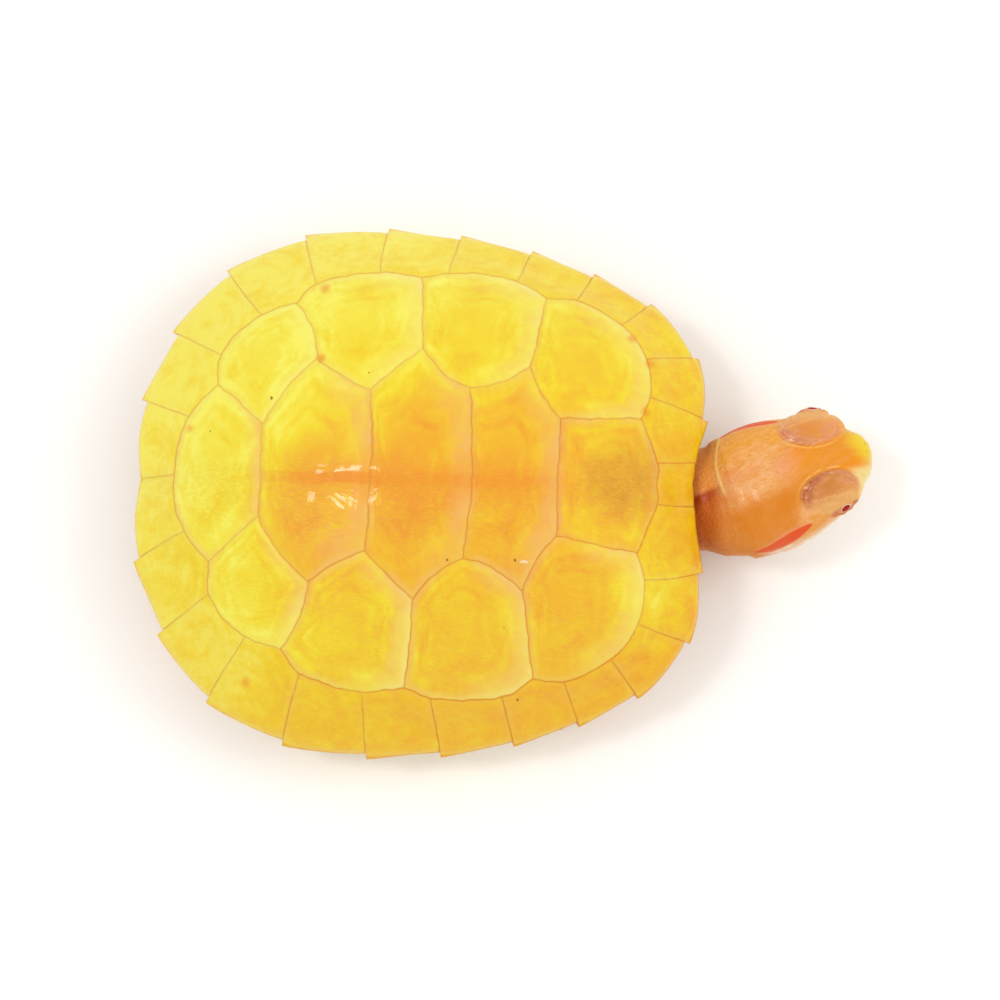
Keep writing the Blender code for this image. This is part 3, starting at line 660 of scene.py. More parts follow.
def onPlastron(flat, depth):
    # the visible face looks down, so depth goes up
    return toWorld(flat[:, 0], flat[:, 1], underside(flat[:, 1])) + np.stack(
        [np.zeros(len(flat)), np.zeros(len(flat)), np.asarray(depth)], axis=-1)


# the head's own coordinates are in millimetres: back from the snout, left, height
head = {
    "snout": (46.85, 5.95),     # forward and left of the shell's centre
    "turn": math.radians(19),
    # back, half width, top, bottom
    "stations": ((0.0, 1.1, 9.3, 6.5), (0.4, 1.95, 10.0, 5.8), (1.3, 2.75, 10.7, 5.3),
                 (2.6, 3.85, 11.4, 4.85), (4.3, 5.05, 12.1, 4.5), (6.4, 5.85, 12.6, 4.2),
                 (8.6, 6.55, 12.9, 3.95),
                 (10.8, 6.88, 13.0, 3.75), (12.9, 6.85, 12.8, 3.6), (14.6, 6.6, 12.3, 3.5)),
    "power": 2.35,              # 2 is an ellipse, more is boxier
    "neckPower": 2.1,
    "roll": math.radians(6.5),  # the head leans over to its left
    "rollHeight": 6.0,
    "shift": ((0, -0.05), (1.3, -0.24), (2.6, -0.28), (4.3, -0.40), (6.4, -0.58), (8.6, -0.66),
              (14.6, -0.67)),
    "around": 290,
    "alongHead": 165,
    "alongNeck": 66,
}
# forward, left, centre height, half width, half height
neckStations = ((12.4, -0.4, 5.35, 4.2, 3.70), (17.0, -0.4, 5.40, 4.5, 3.85), (22.0, -0.3, 5.50, 4.8, 3.95),
                (26.5, 0.2, 5.50, 5.0, 3.90), (29.6, 0.6, 6.25, 5.3, 4.05), (31.3, 0.62, 7.1, 5.95, 4.2),
                (32.8, 0.66, 7.9, 6.35, 4.32))
eye = {
    "centre": (5.0, 3.66, 9.45),
    "radius": 2.15,
    "bulge": 0.10,
    "rings": (70, 72),          # rings of points on the eyeball, and points in each
    "lidThickness": 0.10,
    "lidCentre": (5.7, 3.45, 9.6),
    "lidShift": -0.22,
    "lidRadii": (3.9, 2.32, 2.6),
    "lidBlend": 0.14,
    "toe": math.radians(9),     # the lids' dome points in towards the snout
    "forward": math.radians(15),
    "up": {1: math.radians(28), -1: math.radians(20)},
    "openLong": 1.22,           # half the lids' opening along the head and across it
    "openHigh": 0.68,
    "pupil": 0.47,
}


def rollAt(back):
    return head["roll"] * (1 - easeIn(back, 11, 19))


def headToWorld(points):
    back, side, height = np.asarray(points, float).T
    roll = rollAt(back)
    lift = height - head["rollHeight"]
    side, height = (side * np.cos(roll) + lift * np.sin(roll),
                    head["rollHeight"] + lift * np.cos(roll) - side * np.sin(roll))
    f = head["snout"][0] - back * math.cos(head["turn"]) - side * math.sin(head["turn"])
    s = head["snout"][1] - back * math.sin(head["turn"]) + side * math.cos(head["turn"])
    return np.stack([s * mm, shell["centreY"] - f * mm, height * mm], axis=-1)


def worldToHead(points, rolled=True):
    x, y, z = (np.asarray(points, float) / mm).T
    f = shell["centreY"] / mm - y - head["snout"][0]
    s = x - head["snout"][1]
    back = -f * math.cos(head["turn"]) - s * math.sin(head["turn"])
    side = -f * math.sin(head["turn"]) + s * math.cos(head["turn"])
    roll = rollAt(back) * rolled
    lift = z - head["rollHeight"]
    return np.stack([back, side * np.cos(roll) - lift * np.sin(roll),
                     head["rollHeight"] + lift * np.cos(roll) + side * np.sin(roll)], axis=-1)


def eyeCentre(side):
    back, out, height = eye["centre"]
    return np.array([back, out * side, height])


def eyeAxis(side):
    level = math.cos(eye["up"][side])
    return np.array([-level * math.sin(eye["forward"]), side * level * math.cos(eye["forward"]),
                     math.sin(eye["up"][side])])


def eyeFrame(side):
    # directions along the lids' slit and across it, both square to the way the eye looks
    axis = eyeAxis(side)
    long = unit(np.array([1.0, 0.0, 0.10]) - axis * (np.array([1.0, 0.0, 0.10]) @ axis))
    high = unit(np.cross(axis, long))
    return axis, long, high if high[2] > 0 else -high


def eyeLocal(points, side):
    # position on the eye's ball, in millimetres along and across the slit, and the distance from its centre
    axis, long, high = eyeFrame(side)
    offset = points - eyeCentre(side)
    reach = np.linalg.norm(offset, axis=-1)
    toward = offset / np.maximum(reach, 1e-9)[:, None]
    cosine = np.clip(toward @ axis, -1, 1)
    turn = np.arccos(cosine)
    flat = toward - cosine[:, None] * axis
    flat = unit(flat)
    arc = turn * eye["radius"]
    return arc * (flat @ long), arc * (flat @ high), arc, reach


def lidOpening(x, y):
    # below 1 inside the slit between the lids, an almond pointed at both ends
    high = np.where(y > 0, eye["openHigh"] * 0.92, eye["openHigh"] * 1.08)
    across = np.abs(y) / high
    along = np.abs(x) / eye["openLong"]
    return np.sqrt(along**1.75 + across**1.9 + 1e-9)


def lidMiddle(side):
    back, out, height = eye["lidCentre"]
    return np.array([back, out * side + eye["lidShift"], height])


def lidPlace(points, side):
    # back, out and up from the middle of the lids' dome
    offset = np.asarray(points, float) - lidMiddle(side)
    c, t = math.cos(eye["toe"]), math.sin(eye["toe"])
    out = offset[:, 1] * side
    return np.stack([offset[:, 0] * c + out * t, out * c - offset[:, 0] * t, offset[:, 2]], axis=-1)


def lidDome(points, side):
    # points raised onto the dome of the lids, and how far each was raised
    radii = np.array(eye["lidRadii"])
    local = lidPlace(points, side) / radii
    distance = np.maximum(np.linalg.norm(local, axis=-1), 1e-9)
    blend = eye["lidBlend"]
    share = np.clip(0.5 + 0.5 * (1 - distance) / blend, 0, 1)
    reach = distance + (1 - distance) * share + blend * share * (1 - share)
    back, out, up = (local / distance[:, None] * reach[:, None] * radii).T
    c, t = math.cos(eye["toe"]), math.sin(eye["toe"])
    moved = np.stack([back * c - out * t, (out * c + back * t) * side, up], axis=-1)
    return lidMiddle(side) + moved, 1 - distance


mouth = {
    # back, height of the line between the jaws
    "line": ((0.0, 6.95), (0.5, 6.80), (1.2, 6.75), (3.0, 6.55), (5.5, 6.40), (7.5, 6.70), (9.2, 7.3)),
    "depth": 0.42,
    "width": 0.19,
    "end": 9.2,
}


def ringDirections(count, power):
    angle = 2 * math.pi * np.arange(count) / count
    c = np.cos(angle)
    s = np.sin(angle)
    x = np.sign(c) * np.abs(c) ** (2 / power)
    z = np.sign(s) * np.abs(s) ** (2 / power)
    return x, z


def headRings():
    # rings of the head from the snout back, in its own coordinates
    count = head["around"]
    x, z = ringDirections(count, head["power"])
    columns = [[(row[0], row[k]) for row in head["stations"]] for k in (1, 2, 3)]
    _, half, top, bottom = head["stations"][0]
    rings = []
    for k in np.linspace(0, 1, 9)[1:-1]:
        rings.append(np.stack([np.full(count, 0.08 * k**3), x * half * k,
                               (top + bottom) / 2 + z * (top - bottom) / 2 * k], axis=-1))
    for i in range(head["alongHead"]):
        back = head["stations"][-1][0] * (i / (head["alongHead"] - 1)) ** 1.15
        half, top, bottom = (float(smoothCurve(column, back)) for column in columns)
        shift = float(smoothCurve(head["shift"], back))
        rings.append(np.stack([np.full(count, back), x * half + shift,
                               (top + bottom) / 2 + z * (top - bottom) / 2], axis=-1))
    return np.concatenate(rings)


def neckRings():
    # rings of the neck from the head's last ring back, in the head's coordinates
    count = head["around"]
    stations = np.array(neckStations[::-1])
    steps = np.linalg.norm(np.diff(stations[:, :3], axis=0), axis=1)
    distance = np.concatenate([[0], np.cumsum(steps)])
    t = np.linspace(0, 1, head["alongNeck"] + 1)[1:] ** 1.25 * distance[-1]
    path = np.stack([smoothCurve(np.stack([distance, column], axis=1), t) for column in stations.T], axis=1)
    x, z = ringDirections(count, head["power"])
    neckX, neckZ = ringDirections(count, head["neckPower"])
    headAlong = np.array([math.cos(head["turn"]), math.sin(head["turn"])])
    rings = []
    for i, (f, s, h, wide, high) in enumerate(path):
        share = min(1, (i + 1) / 20)
        before = path[max(i - 1, 0)][:2]
        after = path[min(i + 1, len(path) - 1)][:2]
        along = unit(unit(before - after) * share + headAlong * (1 - share))
        sideways = (neckX * share + x * (1 - share)) * wide
        rings.append(np.stack([(s + along[0] * sideways) * mm,
                               shell["centreY"] - (f - along[1] * sideways) * mm,
                               (h + (neckZ * share + z * (1 - share)) * high) * mm], axis=-1))
    rings = np.array(rings)
    outward = (rings - rings.mean(axis=1, keepdims=True)).reshape(-1, 3)
    return neckFolds(worldToHead(rings.reshape(-1, 3), False), unit(outward))


def headSurface():
    # one closed surface from the snout to the neck's root
    count = head["around"]
    world = np.concatenate([headToWorld(headDetail(headRings())), headToWorld(neckRings())])
    return pointEnded(world, count, [world[:count].mean(0), world[-count:].mean(0)])


def headDetail(p):
    p = p.copy()
    back, side, height = p.T
    # the hollow between the eyes, and a faint ridge to each side of the crown
    between = hill(side, 1.35) * hill(back - 4.8, 3.4) * easeIn(height, 9, 11)
    p[:, 2] -= 0.42 * between
    p[:, 2] += 0.10 * hill(np.abs(side) - 3.3, 1.3) * hill(back - 11.0, 2.4) * easeIn(height, 9, 11)
    # the jaws: a groove between them, the lower one set inside the upper, a fine lip above
    line = smoothCurve(mouth["line"], back)
    below = line - height
    shown = 1 - easeIn(back, mouth["end"] - 0.8, mouth["end"])
    inward = np.stack([back, np.zeros_like(back), np.full_like(back, 8.0)], axis=-1) - p
    inward[:, 2] *= 0.25
    inward = unit(inward)
    groove = mouth["depth"] * hill(below, mouth["width"]) * shown
    jaw = 0.28 * easeIn(below, 0.0, 0.25) * (1 - easeIn(below, 1.0, 2.6)) * shown
    lip = 0.10 * hill(below + 0.32, 0.22) * shown
    p += inward * (groove + jaw - lip)[:, None]
    # the beak's notch and its edge against the skin
    notch = hill(side, 0.35) * hill(height - mouth["line"][0][1] - 0.2, 0.5)
    p[:, 0] += 0.12 * notch * (1 - easeIn(back, 0.5, 1.5))
    # nostrils
    for s in (1, -1):
        pit = np.linalg.norm(p - np.array([0.30, 0.42 * s, 9.35]), axis=1)
        p[:, 0] += 0.34 * hill(pit, 0.17) - 0.06 * hill(pit - 0.33, 0.14)
        p[:, 2] -= 0.16 * hill(pit, 0.17)
    for s in (1, -1):
        p = lidShape(p, s)
    # the drum of the ear, a faint raised disc behind the corner of the mouth
    for s in (1, -1):
        away = np.hypot((p[:, 0] - 10.6) / 1.35, (p[:, 2] - 7.9) / 1.15)
        flank = easeIn(p[:, 1] * s, 3, 5)
        p[:, 1] += s * flank * (0.12 * (1 - easeIn(away, 0.7, 1.05)) - 0.10 * hill(away - 1.15, 0.14))
    return p


def lidShape(p, s):
    # the lids' dome with its folds, and the slit through which the eye shows
    plain = p
    p, raised = lidDome(p, s)
    # a crease where the dome meets the head and a soft fold round it
    ridge = 0.085 * hill(raised + 0.115, 0.035) - 0.09 * hill(raised + 0.040, 0.030)
    ridge += 0.05 * hill(raised + 0.26 + 0.03 * np.sin(plain[:, 0] * 1.3), 0.035) * easeIn(plain[:, 0], 4, 6)
    ridge *= easeIn(plain[:, 2], 8.2, 9.6)
    x, y, _, reach = eyeLocal(p, s)
    near = raised > -0.2
    opening = lidOpening(x, y)
    inside = 1 - easeIn(opening, 0.90, 1.14)
    rimRise = 0.07 * hill(opening - 1.24, 0.13) - 0.06 * hill(opening - 1.62, 0.17)
    upper = easeIn(y, 0.2, 0.9)
    fold = -0.06 * hill(y - 1.42 - 0.05 * x * x, 0.11) * upper
    fold -= 0.075 * hill(y - 3.05 - 0.20 * np.sin(x * 1.1 + s), 0.12)
    fold -= 0.055 * hill(y - 3.45 - 0.15 * np.sin(x * 1.7), 0.09)
    place = lidPlace(p, s)
    outer = easeIn(np.hypot(place[:, 0] / 3.3, (place[:, 1] + 0.1) / 2.0), 0.55, 0.80)
    crumple = 0.048 * np.sin(y * 12 + 2.2 * np.sin(x * 1.3 + s) + np.sin(x * 3.7)) * easeIn(y, 1.8, 2.4)
    crumple += 0.036 * np.sin(x * 9 + 2 * np.sin(y * 2.2)) * easeIn(y, 1.8, 2.4)
    crumple += 0.042 * np.sin(place[:, 0] * 7 + 3 * np.sin(place[:, 1] * 2.1 + s) + np.sin(y * 5))
    crumple *= outer
    lower = -0.06 * hill(y + 1.75, 0.13) - 0.045 * hill(y + 2.3, 0.12)
    lower += 0.02 * np.sin(y * 11 + x * 1.5) * easeIn(-y, 1.3, 2)
    dome = easeIn(raised, -0.02, 0.08)
    change = (rimRise + (fold + crumple + lower) * dome) * easeIn(opening, 0.95, 1.2) + ridge
    target = np.where(near, reach + change, reach)
    shut = eye["radius"] + eye["lidThickness"] + change
    over = np.clip(0.5 + (shut - target) / 0.3, 0, 1)
    target = target + (shut - target) * over * near + 0.15 * over * (1 - over) * near
    deep = eye["radius"] - 0.45
    target = target * (1 - inside * near) + deep * inside * near
    centre = eyeCentre(s)
    return centre + (p - centre) / np.maximum(reach, 1e-9)[:, None] * target[:, None]


neckLook = {
    # side, back of the fold of skin behind the head
    "fold": ((-6.5, 14.8), (-4.5, 15.4), (-2.5, 15.9), (-0.3, 16.15), (1.9, 16.2), (3.4, 15.9), (5.9, 14.6),
             (6.5, 14.2)),
    "seamSide": 0.9,
    "seamSwing": 0.13,
}


def neckFolds(p, outward):
    # loose skin behind the head: one clear fold, a fine one along the neck, then soft rolls under the shell
    back, side, height = p.T
    upper = easeIn(height, 6.5, 9.5)
    behind = back - smoothCurve(neckLook["fold"], side)
    rise = (0.09 * hill(behind, 0.15) - 0.035 * hill(behind - 0.36, 0.24)) * upper * easeIn(side, -2.4, -0.6)
    seamAway = side - neckLook["seamSide"] - neckLook["seamSwing"] * behind - 0.05 * np.sin(back * 3)
    rise += 0.07 * hill(seamAway, 0.14) * upper * easeIn(behind, 0.1, 0.6)
    angle = np.arctan2(height - 7.5, side)
    roll = np.sin(2 * math.pi * (behind / 1.75 + 0.12 * np.sin(angle * 3) + 0.05 * np.sin(angle * 9)))
    rise += 0.05 * (np.abs(roll) ** 1.5 * np.sign(roll)) * easeIn(behind, 0.8, 2.2)
    fine = np.sin(2 * math.pi * (behind / 0.52 + 0.3 * np.sin(angle * 2 + 1)))
    rise += 0.012 * fine * easeIn(behind, 0.2, 0.8)
    # outward directions are in world axes; turn them into the head's
    s, f, up = outward.T * np.array([[1], [-1], [1]])
    c, t = math.cos(head["turn"]), math.sin(head["turn"])
    return p + np.stack([-f * c - s * t, -f * t + s * c, up], axis=-1) * rise[:, None]


# legs and tail, in millimetres: forward, left, height, half width, half height
forelegPath = ((13.1, 9.0, 5.6, 3.0, 3.0), (16.8, 9.6, 5.6, 3.1, 3.1), (20.2, 11.0, 5.3, 2.8, 3.0),
               (21.8, 14.0, 4.9, 2.5, 2.7), (20.9, 17.0, 4.2, 2.2, 2.4), (18.6, 19.0, 3.3, 2.2, 1.9),
               (16.5, 19.9, 2.4, 2.4, 1.3), (14.9, 20.3, 1.9, 2.4, 0.8))
hindlegPath = ((-17.2, 6.4, 5.4, 2.9, 3.0), (-17.2, 10.4, 5.4, 3.1, 3.1), (-17.7, 14.0, 5.1, 2.9, 3.0),
               (-19.4, 16.4, 4.7, 2.4, 2.6), (-21.6, 16.2, 4.1, 2.0, 2.2), (-23.1, 14.2, 3.4, 2.1, 1.7),
               (-24.0, 12.2, 2.6, 2.3, 1.2), (-24.5, 10.7, 2.0, 2.4, 0.8))
tailPath = ((-14.6, 0.0, 5.5, 2.9, 2.9), (-18.5, 0.0, 5.0, 2.5, 2.5), (-22.0, 0.4, 4.4, 2.0, 2.0),
            (-24.8, 1.6, 3.9, 1.4, 1.4), (-26.3, 3.4, 3.5, 0.9, 0.9), (-26.9, 5.2, 3.3, 0.5, 0.5))
feet = {
    "toeLength": 2.5,
    "toeRadius": 0.47,
    "clawLength": 1.35,
    "clawRadius": 0.27,
    "fan": 0.50,                # how far the outer toes turn outwards
    "dip": 0.10,
    "spread": 0.92,             # share of the foot's half width over which the toes stand
    "web": 0.62,                # share of the toes' length that the web fills
    "webThickness": 0.26,
    "webHollow": 0.22,          # how far its edge falls back between two toes
    # a toe from root to end: share of its length, share of its radius
    "toeShape": ((0, 1.0), (0.28, 1.12), (0.5, 0.92), (0.72, 1.0), (0.9, 0.82), (1.0, 0.5)),
    "around": 14,               # points in each ring of a toe or a claw
    "toeBend": 0.00015,         # how far the ends of toes and claws drop, in metres
    "clawBend": 0.00035,
    "clawStart": 0.82,          # share of the toe's length where its claw begins
    "clawRings": 12,
}


def fleshPoint(station):
    return np.array([station[1] * mm, shell["centreY"] - station[0] * mm, station[2] * mm])


def tube(path, sides=36, steps=10, roundEnd=True):
    # points and faces of a closed limb
    stations = catmull(np.array(path)[:, None, :], steps)[:, 0]
    places = np.array([fleshPoint(row) for row in stations])
    angle = 2 * math.pi * np.arange(sides) / sides
    rings = []
    for i, row in enumerate(stations):
        along = unit(places[min(i + 1, len(places) - 1)] - places[max(i - 1, 0)])
        across = unit(np.cross(along, [0, 0, 1]))
        up = unit(np.cross(across, along))
        rings.append(places[i] + np.outer(np.cos(angle) * row[3] * mm, across)
                     + np.outer(np.sin(angle) * row[4] * mm, up))
    if roundEnd:
        last = rings[-1]
        middle = last.mean(0)
        for share in (0.9, 0.7, 0.4):
            blunt = along * (1 - share**2) * stations[-1][4] * mm * 0.8
            rings.append(middle + (last - middle) * share + blunt)
    return flatEnded(rings)


def toePaths(path, count):
    # root and direction of each toe at the end of a limb
    tip = fleshPoint(path[-1])
    along = tip - fleshPoint(path[-2])
    along[2] = 0
    along = unit(along)
    across = np.cross(along, [0, 0, 1])
    made = []
    for i in range(count):
        fan = (i / (count - 1) - 0.5) * 2
        direction = unit(along + across * fan * feet["fan"] - np.array([0, 0, feet["dip"]]))
        root = tip + (across * fan * path[-1][3] * feet["spread"] - along * (abs(fan) * 0.5 + 1.3)) * mm
        made.append((root, direction))
    return made


def webPart(toes):
    # a thin sheet of skin from toe to toe
    lift = np.array([0, 0, feet["webThickness"] / 2 * mm])
    reach = feet["toeLength"] * feet["web"] * mm
    rows = []
    for share in (-0.3, 0.0, 0.3, 0.6, 0.85, 1.0):
        ends = [root + direction * reach * share for root, direction in toes]
        row = ends[:1]
        for i in range(1, len(toes)):
            between = (ends[i - 1] + ends[i]) / 2
            row += [between - toes[i - 1][1] * feet["webHollow"] * mm * max(share, 0), ends[i]]
        rows.append(np.array(row))
    grid = np.array([row + lift for row in rows] + [row - lift for row in rows[::-1]])
    return flatEnded(grid.transpose(1, 0, 2))


def taper(root, direction, length, stations, bend):
    # a round tapering piece; stations are (share of length, radius), bend drops its end
    across = unit(np.cross(direction, [0, 0, 1]))
    up = unit(np.cross(across, direction))
    angle = 2 * math.pi * np.arange(feet["around"]) / feet["around"]
    rings = []
    for share, radius in stations:
        middle = root + direction * length * share - up * bend * share**2
        rings.append(middle + np.outer(np.cos(angle) * radius, across) + np.outer(np.sin(angle) * radius, up))
    return flatEnded(rings)


def together(parts):
    points = []
    faces = []
    start = 0
    for partPoints, partFaces in parts:
        points.append(partPoints)
        faces += [tuple(start + k for k in face) for face in partFaces]
        start += len(partPoints)
    return np.concatenate(points), faces


def otherSide(path):
    return tuple((f, -s, *rest) for f, s, *rest in path)


limbs = {"foreleg_left": (forelegPath, 5), "foreleg_right": (otherSide(forelegPath), 5),
         "hindleg_left": (hindlegPath, 4), "hindleg_right": (otherSide(hindlegPath), 4)}


# the trunk shows only between the shell's openings and the limbs
trunk = {
    "depth": 0.00105,           # under the shell's surface
    "pocketFront": 0.60,        # where the skin stands in the openings, in halves
    "pocketShare": 0.72,
    "rays": 120,
}


def trunkSurface():
    half = shell["half"]
    angle = 360 * np.arange(trunk["rays"]) / trunk["rays"]
    wall = innerShare(angle) - 0.012
    bridge = bridgeShare(angle)
    knots = []
    for share, depth in ((0.02, 0), (0.2, 0), (0.4, 0), (0.6, 0), (wall, 0.0001)):
        f, s = drift(*polarPoint(angle, share))
        knots.append(toWorld(f, s, dome(f, s)) - domeNormal(f, s) * (trunk["depth"] + depth))
    forward = np.abs(np.cos(np.radians(angle)))
    pocket = np.minimum(trunk["pocketFront"] / np.maximum(forward, 0.2) / rim(angle), trunk["pocketShare"])
    for level, inset in ((0.66, 0.15), (0.40, 0.75), (0.12, 1.0)):
        share = (wall + (pocket - wall) * inset) * (1 - bridge) + (wall - 0.01) * bridge
        f, s = polarPoint(angle, share)
        top = (dome(f, s) - trunk["depth"] / half) * bridge + (rimHeight(angle) - 0.02) * (1 - bridge)
        low = underside(s) + 0.030
        knots.append(toWorld(f, s, low + (top - low) * level))
    for share in (1.0, 0.6, 0.3, 0.03):
        f, s = polarPoint(angle, (pocket * (1 - bridge) + (wall - 0.03) * bridge) * share)
        knots.append(toWorld(f, s, underside(s) + 0.027))
    return flatEnded(catmull(knots, 4))


def applied(made):
    # the object's mesh with its modifiers applied
    depsgraph = bpy.context.evaluated_depsgraph_get()
    mesh = bpy.data.meshes.new_from_object(made.evaluated_get(depsgraph))
    made.modifiers.clear()
    made.data = mesh
    return made


skinMade = {"voxel": 0.00025, "smoothing": (0.5, 3)}     # how strong, how often


def makeSkin():
    parts = [trunkSurface(), tube(tailPath, 24, 8)]
    for path, count in limbs.values():
        parts.append(tube(path))
        radius = feet["toeRadius"] * mm
        toes = toePaths(path, count)
        parts.append(webPart(toes))
        for root, direction in toes:
            stations = [(share, radius * wide) for share, wide in feet["toeShape"]]
            parts.append(taper(root, direction, feet["toeLength"] * mm, stations, feet["toeBend"]))
    # each part is closed; the remesh makes one surface of them
    neckEnd = neckStations[:4]
    parts.append(tube([(f, s, h, wide - 0.15, high - 0.15) for f, s, h, wide, high in neckEnd], 40, 6, False))
    points, faces = together(parts)
    body = addMesh("body_skin", points, faces)
    remesh = body.modifiers.new("one surface", "REMESH")
    remesh.mode = "VOXEL"
    remesh.voxel_size = skinMade["voxel"]
    soften = body.modifiers.new("soften", "SMOOTH")
    soften.factor, soften.iterations = skinMade["smoothing"]
    applied(body)
    points, faces = headSurface()
    front = outwards(addMesh("head_skin", points, faces))
    join = front.modifiers.new("join", "BOOLEAN")
    join.operation = "UNION"
    join.solver = "EXACT"
    join.object = body
    applied(front)
    bpy.data.objects.remove(body)
    front.name = "skin"
    return front


def fleshDistance(points, path):
    # distance to a limb's centreline as a share of its half width there
    best = np.full(len(points), 9.0)
    stations = catmull(np.array(path)[:, None, :], 4)[:, 0]
    for row in stations:
        away = np.linalg.norm(points - fleshPoint(row), axis=1) / (row[3] * mm)
        best = np.minimum(best, away)
    return best


scales = {"size": 0.00105, "height": 0.00013, "fineSize": 0.00050, "fineHeight": 0.00004}


def vertexArray(mesh, key):
    values = np.empty(len(mesh.vertices) * 3, np.float32 if key == "normal" else np.float64)
    mesh.vertices.foreach_get(key, values)
    return values.reshape(-1, 3)


def lidFields(h):
    # how near each point is to the slit between the lids, and its place on the lids' dome
    lid = np.full(len(h), 9.0)
    dome = np.full((len(h), 3), 9.0)
    for side in (1, -1):
        x, y, _, reach = eyeLocal(h, side)
        lid = np.minimum(lid, np.where(reach < 3.6, lidOpening(x, y), 9.0))
        dome = np.where(h[:, 1:2] * side > 0, lidPlace(h, side), dome)
    return lid, dome


def skinDetail(skin):
    # scales in relief behind the head, and the fields that the skin's material reads
    mesh = skin.data
    points = vertexArray(mesh, "co")
    h = worldToHead(points)
    leg = np.min([fleshDistance(points, path) for path, _ in limbs.values()], axis=0)
    tail = fleshDistance(points, tailPath)
    behind = easeIn(h[:, 0], 14.5, 16.5)
    onLeg = (1 - easeIn(leg, 1.15, 1.5)) * behind
    limb = np.maximum(onLeg, (1 - easeIn(tail, 1.2, 1.6)) * behind)
    relief = np.zeros(len(points))
    for i in np.nonzero(behind > 0.01)[0]:
        near = noise.voronoi(Vector(points[i] / scales["size"]), distance_metric="DISTANCE")[0]
        fine = noise.voronoi(Vector(points[i] / scales["fineSize"]))[0]
        relief[i] = (scales["height"] * min((near[1] - near[0]) * 2.2, 1.0) * limb[i]
                     + scales["fineHeight"] * min((fine[1] - fine[0]) * 2.5, 1.0) * (1 - onLeg[i]))
    points = points + vertexArray(mesh, "normal") * relief[:, None]
    mesh.vertices.foreach_set("co", points.ravel())
    lid, lidDomePlace = lidFields(h)
    addMasks(mesh, {"limb": limb, "lid": lid, "lidPlace": lidDomePlace, "headPlace": h,
                    "fold": h[:, 0] - smoothCurve(neckLook["fold"], h[:, 1])})
    print("skin triangles", sum(len(face.vertices) - 2 for face in mesh.polygons))
    mesh.update()
    mesh.shade_smooth()
    return skin


def makeEye(name, side):
    # a ball with rings of points round the way it looks, and a slight bulge in front
    axis, long, high = eyeFrame(side)
    centre = eyeCentre(side)
    rings, count = eye["rings"]
    points = []
    gaze = []
    for r in range(1, rings):
        turn = math.pi * (r / rings) ** 1.25
        arc = turn * eye["radius"]
        radius = eye["radius"] + eye["bulge"] * hill(arc, 1.1)
        for a in 2 * math.pi * np.arange(count) / count:
            way = axis * math.cos(turn) + (long * math.cos(a) + high * math.sin(a)) * math.sin(turn)
            points.append(centre + way * radius)
            gaze.append((arc * math.cos(a), arc * math.sin(a), arc))
    ends = [centre + axis * (eye["radius"] + eye["bulge"]), centre - axis * eye["radius"]]
    points, faces = pointEnded(points, count, ends)
    return outwards(addMesh(name, headToWorld(points), faces, {"gaze": gaze + [(0, 0, 0), (0, 0, 9)]}))


def makeClaws(name, path, count):
    parts = []
    lengths = []
    r = feet["clawRadius"] * mm
    for root, direction in toePaths(path, count):
        start = root + direction * feet["toeLength"] * feet["clawStart"] * mm
        shares = np.linspace(0, 1, feet["clawRings"])
        stations = [(t, r * (1 - t) ** 0.75 * (0.9 + 0.1 * math.sin(math.pi * t)) + 0.00002) for t in shares]
        parts.append(taper(start, direction, feet["clawLength"] * mm, stations, feet["clawBend"]))
        lengths += list(np.repeat(shares, feet["around"]))
    points, faces = together(parts)
    return outwards(addMesh(name, points, faces, {"length": np.array(lengths)}))


def colour(code):
    # linear colour of a hex code
    parts = [int(code[i:i + 2], 16) / 255 for i in (1, 3, 5)]
    return (*[c / 12.92 if c <= 0.04045 else ((c + 0.055) / 1.055) ** 2.4 for c in parts], 1.0)


studioGain = {"light": 1.15, "gloss": (0.022, 0.024, 0.038)}     # what the studio adds to a plain colour


def paints(codes):
    # the plain colours that show as these under the studio's light
    made = {}
    for key, code in codes.items():
        parts = [max(0.003, (c - g) / studioGain["light"]) for c, g in zip(colour(code), studioGain["gloss"])]
        made[key] = (*parts, 1.0)
    return made


def arithmetic(operation, reflected=False):
    # an operator of Wire
    def method(self, other):
        return self.maths(operation, other, self) if reflected else self.maths(operation, self, other)
    return method


